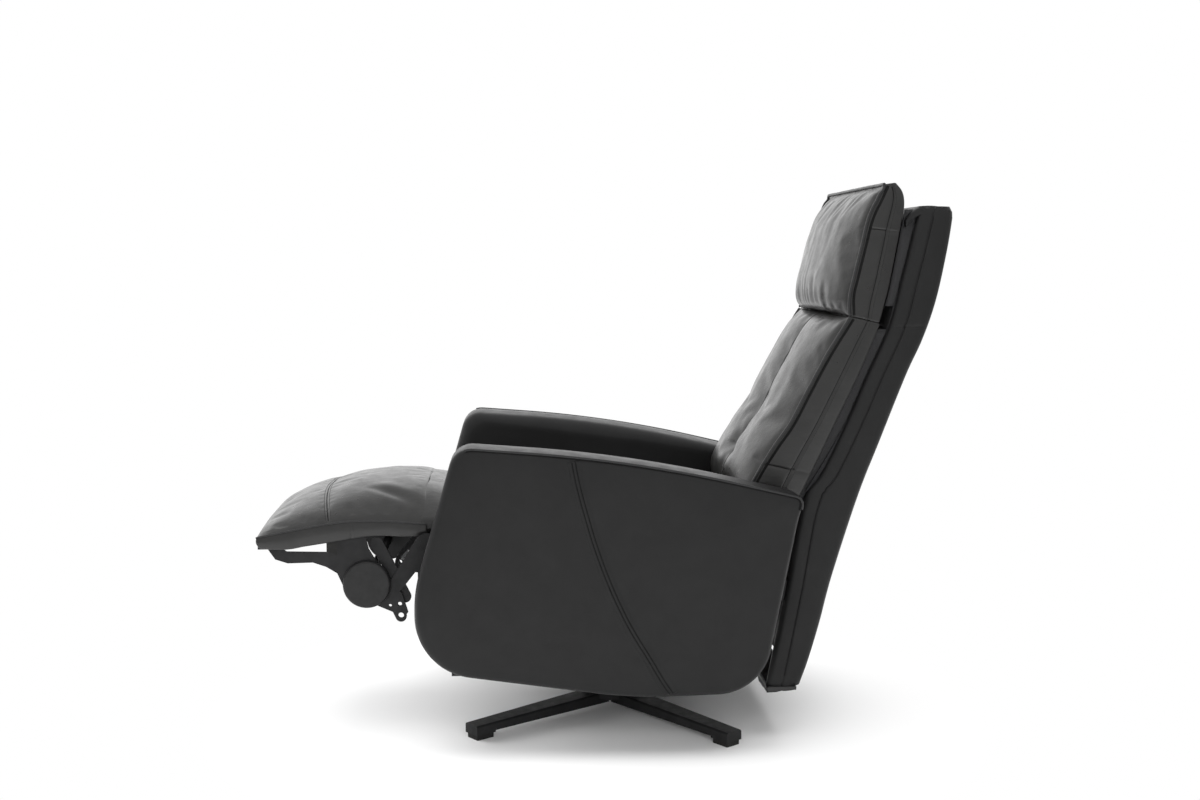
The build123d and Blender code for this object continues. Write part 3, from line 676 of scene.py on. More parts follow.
@dataclass(frozen=True)
class BrightSteel:
    """Zinc-plated steel with fine turning lines."""

    name: str
    dark: tuple[float, float, float] = (0.36, 0.36, 0.37)
    light: tuple[float, float, float] = (0.58, 0.58, 0.59)
    roughness: tuple[float, float] = (0.24, 0.42)
    streak_mm: float = 0.8
    streak_stretch: float = 12.0
    streak_depth_mm: float = 0.02
    sheen_mm: float = 9.0

    def material(self) -> bpy.types.Material:
        """Streaked tone and gloss."""
        n = Nodes(self.name)
        streak = n.noise(self.streak_mm, 3.0, 0.6, (self.streak_stretch, 1.0, 1.0))
        colour = n.mix(n.ramp(streak, 0.3, 0.7, 0.0, 1.0), self.dark, self.light)
        sheen = n.ramp(n.noise(self.sheen_mm, 3.0), 0.3, 0.7, *self.roughness)
        relief = n.bump(streak, self.streak_depth_mm)
        return n.dress({"Base Color": colour, "Roughness": sheen, "Normal": relief}, {"Metallic": 1.0})


@dataclass(frozen=True)
class Moulding:
    """Moulded plastic or rubber with a spark-eroded texture."""

    name: str
    dark: tuple[float, float, float]
    light: tuple[float, float, float]
    roughness: tuple[float, float] = (0.42, 0.56)
    texture_mm: float = 0.6
    depth_mm: float = 0.06
    gloss: float = 0.27
    tone_mm: float = 22.0
    sheen_mm: float = 8.0

    def material(self) -> bpy.types.Material:
        """Fine texture over a quiet colour."""
        n = Nodes(self.name)
        colour = n.mix(n.ramp(n.noise(self.tone_mm, 3.0), 0.35, 0.68, 0.0, 1.0), self.dark, self.light)
        relief = n.bump(n.noise(self.texture_mm, 2.0), self.depth_mm)
        sheen = n.ramp(n.noise(self.sheen_mm, 2.0), 0.3, 0.7, *self.roughness)
        return n.dress({"Base Color": colour, "Roughness": sheen, "Normal": relief},
                       {"Specular IOR Level": self.gloss})


@dataclass(frozen=True)
class Ply:
    """Birch ply with its grain along the chair."""

    name: str
    dark: tuple[float, float, float] = (0.30, 0.20, 0.11)
    light: tuple[float, float, float] = (0.52, 0.38, 0.23)
    roughness: float = 0.7
    grain_mm: float = 5.0
    grain_stretch: float = 14.0
    grain_depth_mm: float = 0.15
    fleck_mm: float = 1.2
    fleck_stretch: float = 6.0
    fleck_share: float = 0.3

    def material(self) -> bpy.types.Material:
        """Long grain and short flecks."""
        n = Nodes(self.name)
        grain = n.noise(self.grain_mm, 4.0, 0.6, (1.0, self.grain_stretch, 1.0))
        fleck = n.noise(self.fleck_mm, 2.0, 0.5, (1.0, self.fleck_stretch, 1.0))
        tone = n.math("ADD", grain, n.math("MULTIPLY", fleck, self.fleck_share))
        colour = n.mix(n.ramp(tone, 0.45, 0.85, 0.0, 1.0), self.dark, self.light)
        return n.dress({"Base Color": colour, "Normal": n.bump(grain, self.grain_depth_mm)},
                       {"Roughness": self.roughness})


@dataclass(frozen=True)
class Weave:
    """Black upholstery lining or webbing of plain weave."""

    name: str
    dark: tuple[float, float, float] = (0.010, 0.010, 0.011)
    light: tuple[float, float, float] = (0.035, 0.035, 0.036)
    yarn_mm: float = 1.1
    yarn_depth_mm: float = 0.2
    wobble: float = 0.4
    roughness: float = 0.9

    def material(self) -> bpy.types.Material:
        """Crossing yarns from two banded waves."""
        n = Nodes(self.name)
        scale = 1.0 / (self.yarn_mm * MM * 2.0)
        bands = [n.add("ShaderNodeTexWave", {"Vector": n.coords}, {"Scale": scale, "Distortion": self.wobble},
                       bands_direction=direction).outputs["Fac"] for direction in ("X", "DIAGONAL")]
        cloth = n.math("MULTIPLY", bands[0], bands[1])
        colour = n.mix(cloth, self.dark, self.light)
        return n.dress({"Base Color": colour, "Normal": n.bump(cloth, self.yarn_depth_mm)},
                       {"Roughness": self.roughness})


class Finish(Enum):
    """Every finish on the chair."""

    HIDE = Leather("black_hide", (0.0070, 0.0069, 0.0067), (0.0098, 0.0096, 0.0093), (0.27, 0.37))
    PANEL_HIDE = Leather("panel_hide", (0.0060, 0.0060, 0.0061), (0.0076, 0.0076, 0.0077), (0.40, 0.50), 0.21,
                         crease_depth_mm=0.15)
    PIPING = Leather("piping_hide", (0.0065, 0.0065, 0.0068), (0.0090, 0.0090, 0.0094), (0.36, 0.46),
                     crease_depth_mm=0.05)
    THREAD = Moulding("black_thread", (0.006, 0.006, 0.006), (0.014, 0.014, 0.014), (0.75, 0.9), 0.4, 0.1)
    # Near-black matte lines that paint the shade in seam grooves, under the arm welt and behind piping.
    SEAM = Moulding("seam_shadow", (0.0015, 0.0015, 0.0015), (0.003, 0.003, 0.003), (0.85, 0.95), 0.4, 0.1)
    BLACK_STEEL = PowderCoat("black_powder_coat")
    BRIGHT_STEEL = BrightSteel("zinc_steel")
    CASING = Moulding("casing_mould", (0.030, 0.030, 0.032), (0.045, 0.045, 0.047))
    PLASTIC = Moulding("cover_mould", (0.0080, 0.0080, 0.0081), (0.0110, 0.0110, 0.0112))
    BUTTON = Moulding("key_mould", (0.30, 0.30, 0.305), (0.38, 0.38, 0.385), (0.30, 0.42), 0.5, 0.03)
    RUBBER = Moulding("stop_rubber", (0.0085, 0.0083, 0.0080), (0.0130, 0.0127, 0.0122), (0.65, 0.8),
                      0.8, 0.12)
    BOARD = Ply("birch_ply")
    LINING = Weave("black_lining")

    def material(self) -> bpy.types.Material:
        """The finish's one material, made at its first use."""
        return bpy.data.materials.get(self.value.name) or self.value.material()


def dress(piece: bpy.types.Object, finish: Finish, body: str,
          replaces: Sequence[str] = ()) -> bpy.types.Object:
    """Gives a finished piece its material, slot and body, and hides the CAD nodes that it stands for.

    Args:
        piece: the finished piece.
        finish: its look.
        body: the body that it moves with.
        replaces: CAD nodes that it stands for.

    Returns:
        The same piece.
    """
    piece.data.materials.clear()
    piece.data.materials.append(finish.material())
    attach(piece, body)
    if replaces:
        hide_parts(*replaces)
    log.info("%s rides on %s", piece.name, body)
    return piece


def trim(piece: bpy.types.Object, finish: Finish, body: str) -> bpy.types.Object:
    """Dresses piping or thread of the leather."""
    return dress(piece, finish, body)


@dataclass
class UprightCushion:
    """Cushion of a leaning back: a swelling front panel between two piped edges, and boxed sides."""

    name: str
    body: str
    node: str
    front: SideLine
    rear: SideLine
    half: float
    crown: float
    seam_share: float
    fill: float
    rows: int = 64
    columns: int = 72
    layers: int = 10
    cross_seams: tuple[float, ...] = ()
    centre_seam: float = 0.0
    piping: float = 3.2
    # Radius of the painted shadow band just behind each piping.
    fold: float = 3.2
    piping_inset: float = 4.0
    edge_dip: float = 4.5
    dip_inset: float = 9.0
    dip_width: float = 7.0
    side_swell: float = 6.0
    side_reach: float = 16.0
    side_groove: Place = (2.6, 2.4)
    cross_groove: Place = (1.6, 2.2)
    cross_slant: float = 6.0
    end_swell: float = 0.4
    end_reach: float = 12.0
    sewn_depth: float = 1.5
    sewn_edge: float = 16.0
    sewn_end: float = 12.0
    slack: float = 0.006
    cap: float = 6.0

    def swell(self, u: Array, x: Array, place: Array) -> Array:
        """How far the front panel stands out of the line between its piped edges.

        Args:
            u: share of the height.
            x: millimetres from the middle.
            place: rows of x, y, z of the unswollen panel.

        Returns:
            Millimetres along the panel's normal.
        """
        raise NotImplementedError

    def shape(self, u: Array, v: Array, w: Array) -> Array:
        """Points of the cushion for stations along its height, thickness and width."""
        front, rear = self.front.at(u), self.rear.at(u)
        side = np.abs(w) ** 10
        depth = np.linalg.norm(rear - front, axis=-1)
        box = puff(np.minimum(v, 1 - v) * depth, self.side_swell, self.side_reach)
        box += dent((v - self.seam_share) * depth, *self.side_groove)
        for seam in self.cross_seams:
            along = (u - seam) * self.front.length + v * self.cross_slant
            box += dent(along, *self.cross_groove) * (v > 0.02)
        x = w * (self.half - self.side_swell) + np.sign(w) * side * box
        line = front + (rear - front) * v[:, None]
        place = np.column_stack([x, line])
        out = self.swell(u, w * self.half, place) * (1 - v) ** 2
        normal = self.front.normal(u)
        along = np.stack([normal[:, 1], -normal[:, 0]], axis=-1)
        ends = (np.exp((u - 1) * self.front.length / self.end_reach)
                - np.exp(-u * self.front.length / self.end_reach))
        plump = self.end_swell * ends * 4 * v * (1 - v) * (1 - w ** 8)
        line = line + normal * out[:, None] + along * plump[:, None]
        return np.column_stack([x, line])

    def lip(self, x: Array) -> Array:
        """Dip of the front panel beside its piped edges."""
        return dent(self.half - np.abs(x) - self.dip_inset, self.edge_dip, self.dip_width)

    def edge(self, side: float, count: int = 90, off: float = 0.0, back: float = -1.5) -> Array:
        """Path of the piped edge on one side, moved outwards by off and behind the front by back."""
        u = np.linspace(0.0, 1.0, count)
        line = self.front.at(u) - self.front.normal(u) * back
        return np.column_stack([np.full(count, side * (self.half - self.piping_inset + off)), line])

    def build(self) -> bpy.types.Object:
        """Makes the cushion.

        Returns:
            The cushion.
        """
        groove = 0.012
        seams = [(0.0, groove)] if self.centre_seam else []
        seams += [(side * (1.0 - self.dip_inset / self.half), groove) for side in (-1, 1)]
        across = spaced(self.columns, -1.0, 1.0, seams)
        cross = [(share, self.cross_groove[1] / self.front.length) for share in self.cross_seams]
        height = spaced(self.rows, 0.0, 1.0, cross)
        depth = spaced(self.layers, 0.0, 1.0, [(self.seam_share, 0.03)])
        piece = lattice(self.name, height, depth, across, self.shape)
        settle(piece, self.held, self.slack, self.cap)
        refine(piece)
        return dress(piece, Finish.HIDE, self.body, [self.node])

    def held(self, points: Array) -> Array:
        """Which points are sewn down: all but the front panel inside its piped edges and its middle seam."""
        x, line = points[:, 0], points[:, 1:]
        steps = 240
        u = np.linspace(0.0, 1.0, steps)
        front, normal = self.front.at(u), self.front.normal(u)
        near = np.argmin(((line[:, None, :] - front[None]) ** 2).sum(axis=-1), axis=1)
        out = ((line - front[near]) * normal[near]).sum(axis=1)
        share = near / (steps - 1)
        ends = np.minimum(share, 1 - share) * self.front.length
        free = (out > -self.sewn_depth) & (np.abs(x) < self.half - self.sewn_edge) & (ends > self.sewn_end)
        if self.centre_seam:
            free &= np.abs(x) > self.centre_seam
        return ~free


@dataclass
class BackCushion(UprightCushion):
    """Long cushion with a seam down its middle and a tuck at the small of the back."""

    tuck_height: float = 560.0
    tuck_depth: float = 8.0
    tuck_spread: Place = (34.0, 30.0)
    ray_height: float = 1.4
    ray_ring: Place = (1.9, 1.3)
    full_after: Place = (26.0, 16.0)
    middle_groove: Place = (4.6, 2.8)
    middle_valley: Place = (8.0, 42.0)
    wrinkle: float = 2.2
    wrinkle_mm: tuple[float, float, float] = (70.0, 110.0, 110.0)
    gather: float = 1.5
    gather_mm: tuple[float, float, float] = (26.0, 60.0, 40.0)
    gather_band: Place = (0.93, 0.09)

    def swell(self, u: Array, x: Array, place: Array) -> Array:
        """Two soft rolls either side of the middle seam, drawn in at the tuck."""
        length, (low, high) = self.front.length, self.full_after
        ends = puff(u * length, 1.0, low) * puff((1 - u) * length, 1.0, high)
        roll = self.crown * (1 - np.abs(x / self.half) ** 2.6)
        out = (roll + self.lip(x)) * ends
        out += (dent(x, *self.middle_groove) + dent(x, *self.middle_valley)) * ends
        z = place[:, 2]
        away = np.hypot(x / self.tuck_spread[0], (z - self.tuck_height) / self.tuck_spread[1])
        out += dent(away, self.tuck_depth, 1.0)
        angle = np.arctan2(z - self.tuck_height, np.abs(x) + 1e-6)
        ring, width = self.ray_ring
        rays = np.exp(-((away - ring) / width) ** 2) * np.sin(7.0 * angle + 0.6)
        out += self.ray_height * rays
        out += self.wrinkle * ripple(place, self.wrinkle_mm) * ends
        band, width = self.gather_band
        out += self.gather * ripple(place, self.gather_mm, 1) * np.exp(-((u - band) / width) ** 2)
        return out


@dataclass
class HeadCushion(UprightCushion):
    """Short plump cushion, gathered along the crease under it."""

    full_after: Place = (10.0, 14.0)
    wander_mm: float = 90.0
    gather: float = 1.9
    gather_fade: float = 42.0
    top_gather: float = 1.0
    top_fade: float = 60.0
    gather_start: float = 8.0
    wrinkle: float = 2.4
    wrinkle_mm: tuple[float, float, float] = (48.0, 160.0, 160.0)

    def swell(self, u: Array, x: Array, place: Array) -> Array:
        """One plump roll, fullest low down, with gathers that fade upwards."""
        low, high = u * self.front.length, (1 - u) * self.front.length
        ends = puff(low, 1.0, self.full_after[0]) * puff(high - 3.0, 1.0, self.full_after[1])
        roll = self.crown * (1 - np.abs(x / self.half) ** 2.8) * (1.08 - 0.62 * u ** 1.6)
        out = (roll + self.lip(x)) * ends + dent(high - self.dip_inset, self.edge_dip, self.dip_width)
        wander = ripple(np.column_stack([x, 0 * x, 0 * x]), (self.wander_mm, 1.0, 1.0))
        gather = np.sin(x / 13.0 + 5.0 * wander) + 0.6 * np.sin(x / 7.3 + 3.0)
        out += self.gather * gather * np.exp(-low / self.gather_fade) * puff(low, 1.0, self.gather_start)
        upper = self.top_gather * np.sin(x / 16.0 + 4.0 * wander + 1.0)
        out += upper * np.exp(-high / self.top_fade) * puff(high, 1.0, self.gather_start)
        out += self.wrinkle * ripple(place, self.wrinkle_mm) * ends
        return out


@dataclass
class Backrest:
    """Back cushion, head cushion, their piping and lining, the leather shell behind them and its hem."""

    half: float = 258.0
    shell_half: float = 255.0
    shell_skin: float = 8.0
    shell_corner: float = 16.0
    shell_roll: float = 12.0
    shell_seam: float = 30.0
    shell_swell: float = 2.5
    shell_reach: float = 16.0
    shell_groove: Place = (1.8, 1.8)
    shell_turn_in: Place = (40.0, 26.0)
    rear_swell: float = 2.0
    bend_height: float = 825.0
    bend_groove: Place = (1.8, 2.4)
    stitch_gap: float = 4.5
    rim_piping: float = 2.6
    crease_shares: Place = (0.955, 0.06)
    crease_depth: Place = (0.20, 0.66)
    crease_inset: float = 7.0
    crease_tuck: float = 2.0
    hem_hang: Place = (0.92, 0.50)
    hem_wave: float = 3.0
    hem_sway: float = 1.2
    hem_wave_mm: tuple[float, float, float] = (36.0, 22.0, 1.0)
    lining_inset: float = 24.0
    lining_lap: float = 14.0

    def build(self) -> None:
        """Makes every soft piece of the back and the head."""
        back = BackCushion(
            name="back_cushion_leather", body="back", node="back_cushion", half=self.half, crown=26.0,
            seam_share=0.60, fill=0.75, centre_seam=5.0,
            front=SideLine([(252, 452), (250, 492), (267, 532), (299, 585), (335, 637), (366, 697),
                            (406, 773), (451, 846.5)]),
            rear=SideLine([(334, 447), (352, 482), (373, 524), (424, 633), (471, 733), (512, 832)]),
            cross_seams=(0.25,))
        cushion = back.build()
        head = HeadCushion(
            name="head_cushion_leather", body="head", node="head_cushion", half=self.half, crown=34.0,
            seam_share=0.62, fill=0.85, rows=56, columns=96,
            front=SideLine([(450, 847.5), (449, 886), (457, 924), (470, 979), (484, 1037), (502, 1077),
                            (513, 1103)]),
            rear=SideLine([(510, 833), (526, 897), (538, 961), (549, 1024), (555, 1062), (551, 1088),
                           (537, 1106)]),
            cross_seams=(0.66,))
        pillow = head.build()
        for cover, piece, body in ((back, cushion, "back"), (head, pillow, "head")):
            surface = surface_of(piece)
            for side, word in ((1, "left"), (-1, "right")):
                path, _ = laid_on(surface, cover.edge(side), 0.4)
                trim(tube(f"{body}_piping_{word}", path, cover.piping), Finish.PIPING, body)
                # Painted shadow band sunk into the boxed side just behind each piping.
                path, _ = laid_on(surface, cover.edge(side, off=4.0, back=8.0), -1.6)
                trim(tube(f"{body}_piping_fold_{word}", path, cover.fold), Finish.SEAM, body)
        self.top_piping(head, pillow)
        self.sew_sides(back, cushion, "back")
        self.sew_sides(head, pillow, "head")
        self.crease(back, head)
        self.lining(back, "back", (0.08, 0.97), -4.0)
        self.lining(head, "head", (0.12, 0.80), 6.0)
        self.shell()
        self.hem()

    def crease(self, back: BackCushion, head: HeadCushion) -> None:
        """Folded leather inside the crease between back and head.

        Args:
            back: the cushion below it.
            head: the cushion above it.
        """
        low, high = (np.array([share]) for share in self.crease_shares)
        low_front, low_rear = back.front.at(low)[0], back.rear.at(low)[0]
        high_front, high_rear = head.front.at(high)[0], head.rear.at(high)[0]

        def shape(u: Array, v: Array, w: Array) -> Array:
            """Places of the folded leather."""
            front = low_front + (high_front - low_front) * u[:, None]
            rear = low_rear + (high_rear - low_rear) * u[:, None]
            depth = self.crease_depth[0] + self.crease_depth[1] * v[:, None]
            tuck = self.crease_tuck * np.sin(math.pi * u) * np.abs(w) ** 6
            line = front + (rear - front) * depth
            return np.column_stack([w * (self.half - self.crease_inset) - np.sign(w) * tuck, line])

        fold = slab("head_crease_fold", (14, 5, 40), shape)
        fold.data.materials.append(Finish.HIDE.material())
        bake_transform(fold)
        log.info("%s bends between back and head", fold.name)

    def top_piping(self, head: HeadCushion, pillow: bpy.types.Object) -> None:
        """Piping across the top of the head cushion's front panel."""
        edge, count = head.half - head.piping_inset, 60
        x = np.linspace(-edge, edge, count)
        top = head.front.at(np.array([1.0]))[0]
        path, _ = laid_on(surface_of(pillow), np.column_stack([x, np.full((count, 2), top)]), 1.2)
        trim(tube("head_piping_top", path, head.piping), Finish.PIPING, "head")

    def sew_sides(self, cover: UprightCushion, piece: bpy.types.Object, body: str) -> None:
        """Thread beside the seam on each boxed side, and painted shadow lines in the side, cross and middle seams.

        Args:
            cover: the cushion's sizes.
            piece: the cushion's mesh.
            body: the body that it moves with.
        """
        u = np.linspace(0.01, 0.99, 80)
        front, across = cover.front.at(u), cover.rear.at(u) - cover.front.at(u)
        for side, word in ((1, "left"), (-1, "right")):
            x = np.full(len(u), side * cover.half)
            seam = np.column_stack([x, front + across * cover.seam_share])
            # Painted shadow line in the side seam's groove.
            trim(seam_shadow_line(f"{body}_side_seam_{word}", piece, seam), Finish.SEAM, body)
            path = np.column_stack([x, front + across * (cover.seam_share + 0.07)])
            trim(Thread().sew(f"{body}_side_stitches_{word}", piece, path), Finish.THREAD, body)
            for number, share in enumerate(cover.cross_seams):
                count = 20
                v = np.linspace(0.06, cover.seam_share, count)
                at = share - v * cover.cross_slant / cover.front.length
                line = cover.front.at(at) + (cover.rear.at(at) - cover.front.at(at)) * v[:, None]
                cross = np.column_stack([np.full(count, side * cover.half), line])
                # Painted shadow line in the cross seam's groove.
                trim(seam_shadow_line(f"{body}_cross_seam_{word}_{number}", piece, cross), Finish.SEAM, body)
        if cover.centre_seam:
            u = np.linspace(0.03, 0.975, 80)
            place = np.column_stack([0 * u, cover.front.at(u)])
            out = cover.swell(u, 0 * u, place)
            middle = np.column_stack([0 * u, cover.front.at(u) + cover.front.normal(u) * out[:, None]])
            # Painted shadow line down the middle seam.
            trim(seam_shadow_line(f"{body}_middle_seam_shadow", piece, middle, 1.1), Finish.SEAM, body)

    def shell_row(self, near: Array, far: Array, seam: float) -> Array:
        """One course of the shell's skin, from the left inner wall round the rear to the right inner wall.

        Args:
            near: (y, z) of the front edge there.
            far: (y, z) of the rear.
            seam: how far the seam at the bend presses in there, as a negative swell.

        Returns:
            Rows of x, y, z.
        """
        depth = float(np.linalg.norm(far - near))
        roll, corner, base = self.shell_roll, self.shell_corner, self.shell_half - self.shell_swell
        flat = depth - corner
        half_row = [(base - 2 * roll, q) for q in self.shell_turn_in]
        for turn in np.radians(np.arange(180.0, -1.0, -20.0)):
            half_row.append((base - roll + roll * math.cos(turn), roll - roll * math.sin(turn)))
        seam_at = self.shell_seam
        stations = [roll + 4.0] + [seam_at + k for k in (-5.0, -2.5, -1.2, 0.0, 1.2, 2.5, 5.0)]
        stations += [seam_at + 5.0 + (flat - seam_at - 5.0) * k for k in (0.2, 0.4, 0.6, 0.8, 1.0)]
        for q in stations:
            inside = np.array([min(q - roll, flat - q + 6.0)])
            swell = puff(inside, self.shell_swell, self.shell_reach)[0]
            groove = dent(np.array([q - seam_at]), *self.shell_groove)[0]
            half_row.append((base + swell + groove + seam, q))
        for turn in np.radians((18, 36, 54, 72)):
            half_row.append((base - corner + corner * math.cos(turn), flat + corner * math.sin(turn)))
        middle = [((base - corner) * s, depth + self.rear_swell * (1 - s ** 4) + seam)
                  for s in np.linspace(1.0, -1.0, 41)]
        course = half_row + middle + [(-x, q) for x, q in reversed(half_row)]
        aim = (far - near) / depth
        return np.array([(x, *(near + aim * q)) for x, q in course])

    def shell_front(self) -> SideLine:
        """Front edge of the shell, from its lower end up."""
        return SideLine([(295, 104), (332, 300), (363, 474), (402, 537), (449, 636), (488, 729), (530, 825),
                         (553, 917), (570, 988), (586, 1061)])

    def lining(self, cover: UprightCushion, word: str, ends: Place, gap: float) -> None:
        """Black lining set in from both sides, which closes the slot between a cushion and the shell.

        Args:
            cover: the cushion in front of the slot.
            word: the cushion's name.
            ends: shares of the cushion's rear line where the lining starts and stops.
            gap: millimetres that it stays behind the cushion.
        """
        edge = self.shell_front().points

        def shape(u: Array, v: Array, w: Array) -> Array:
            """Places of the left lining."""
            near = cover.rear.at(ends[0] + (ends[1] - ends[0]) * u)
            start = near[:, 0] + gap
            far = np.interp(near[:, 1], edge[:, 1], edge[:, 0]) + self.lining_lap
            x = self.half - self.lining_inset + 2.0 * w
            return np.column_stack([x, start + (far - start) * v, near[:, 1]])

        left = slab(f"left_{word}_lining", (30, 4, 2), shape)
        for piece in (left, mirrored(left, f"right_{word}_lining")):
            dress(piece, Finish.LINING, "back")

    def shell(self) -> None:
        """Leather shell in one skin: rolled front edges, boxed sides, rounded rear and a seam at the bend."""
        front = self.shell_front()
        rear = SideLine([(364, 108), (382, 160), (403, 234), (427, 330), (477, 491), (516, 594), (568, 729),
                         (600, 801), (625, 877), (644, 969), (654, 1037), (653, 1051), (648, 1060)])
        bend = front.share_at_height(self.bend_height)
        heights = spaced(84, 0.0, 1.0, [(bend, 0.0024)])
        presses = dent((heights - bend) * front.length, *self.bend_groove)
        rows = [self.shell_row(*ends) for ends in zip(front.at(heights), rear.at(heights), presses)]
        columns = len(rows[0])
        faces = [(k, k + 1, k + 1 + columns, k + columns) for k in range((len(rows) - 1) * columns)
                 if (k + 1) % columns]
        skin = new_object("shell_leather", np.vstack(rows), faces)
        self.thicken(skin)
        dress(skin, Finish.PANEL_HIDE, "back", ["back_shell"])
        u = np.linspace(0.02, 0.985, 110)
        aim = rear.at(u) - front.at(u)
        aim /= np.linalg.norm(aim, axis=1, keepdims=True)
        for side, word in ((1, "left"), (-1, "right")):
            x = np.full(len(u), side * self.shell_half)
            seam = np.column_stack([x, front.at(u) + aim * self.shell_seam])
            # Painted shadow line in the side seam's groove.
            trim(seam_shadow_line(f"shell_seam_{word}", skin, seam), Finish.SEAM, "back")
            path = seam + np.column_stack([0 * u, aim * self.stitch_gap])
            trim(Thread().sew(f"shell_stitches_{word}", skin, path), Finish.THREAD, "back")
        self.shell_top(front.at(np.array([1.0]))[0], rear.at(np.array([1.0]))[0])

    def thicken(self, skin: bpy.types.Object) -> None:
        """Gives the shell's skin its thickness on the inside."""
        outward = max(skin.data.polygons, key=lambda face: face.center.y).normal.y
        solid = skin.modifiers.new("wall", "SOLIDIFY")
        solid.thickness = self.shell_skin * MM
        solid.offset = -1.0 if outward > 0 else 1.0
        bpy.ops.object.select_all(action="DESELECT")
        bpy.context.view_layer.objects.active = skin
        skin.select_set(True)
        bpy.ops.object.modifier_apply(modifier=solid.name)
        if outward < 0:
            skin.data.flip_normals()

    def shell_top(self, near: Array, far: Array) -> None:
        """Top panel of the shell, which slopes down behind the head cushion, with a thin piped rim."""
        half = self.shell_half - 4.0
        line = SideLine([(near[0] - 27.0, near[1] - 23.0), (near[0] - 13.0, near[1] - 9.0),
                         (near[0] + 3.0, near[1] - 1.0), ((near[0] + far[0]) / 2, near[1] + 1.0),
                         (far[0] - 3.0, far[1] - 3.0)])

        def shape(u: Array, v: Array, w: Array) -> Array:
            """Places of the top panel."""
            rim = np.minimum(np.minimum(u, 1 - u) * line.length, (1 - np.abs(w)) * half)
            place = line.at(u)
            place[:, 1] += (puff(rim, 5.0, 9.0) - 4.0) * (1 - v) - (12.0 + 6.0 * (1 - u)) * v
            return np.column_stack([w * half, place])

        lid = slab("shell_top_panel", (24, 2, 60), shape)
        dress(lid, Finish.PANEL_HIDE, "back")
        reach = float(np.linalg.norm(far - near))
        corners = [(-half, 2.0, 12.0), (half, 2.0, 12.0), (half, reach - 2.0, 14.0),
                   (-half, reach - 2.0, 14.0)]
        flat = rounded_outline(corners, 160)
        rim = np.column_stack([flat[:, 0], near + (far - near) * flat[:, 1:] / reach - (0.0, 3.0)])
        trim(tube("shell_top_piping", rim, self.rim_piping, closed=True), Finish.PIPING, "back")

    def hem(self) -> None:
        """Hem under the shell, which hangs a little wavy."""
        low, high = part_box("back_skirt")
        y_from, y_to = (low.y - SWIVEL_Y) / MM, (high.y - SWIVEL_Y) / MM
        top, drop = high.z / MM, (high.z - low.z) / MM

        def shape(u: Array, v: Array, w: Array) -> Array:
            """Places of the hem."""
            x = w * (self.shell_half - 1.0)
            y = y_from + 3.0 + (y_to - y_from - 12.0) * u
            wave = ripple(np.column_stack([x, y, 0 * x]), self.hem_wave_mm)
            z = top - v * drop * (self.hem_hang[0] - self.hem_hang[1] * u) + self.hem_wave * wave * v
            sway = self.hem_sway * wave * v
            return np.column_stack([x + sway, y + sway, z])

        piece = slab("shell_hem", (12, 4, 70), shape)
        dress(piece, Finish.HIDE, "back", ["back_skirt"])


Trim = tuple[bpy.types.Object, str, Finish]


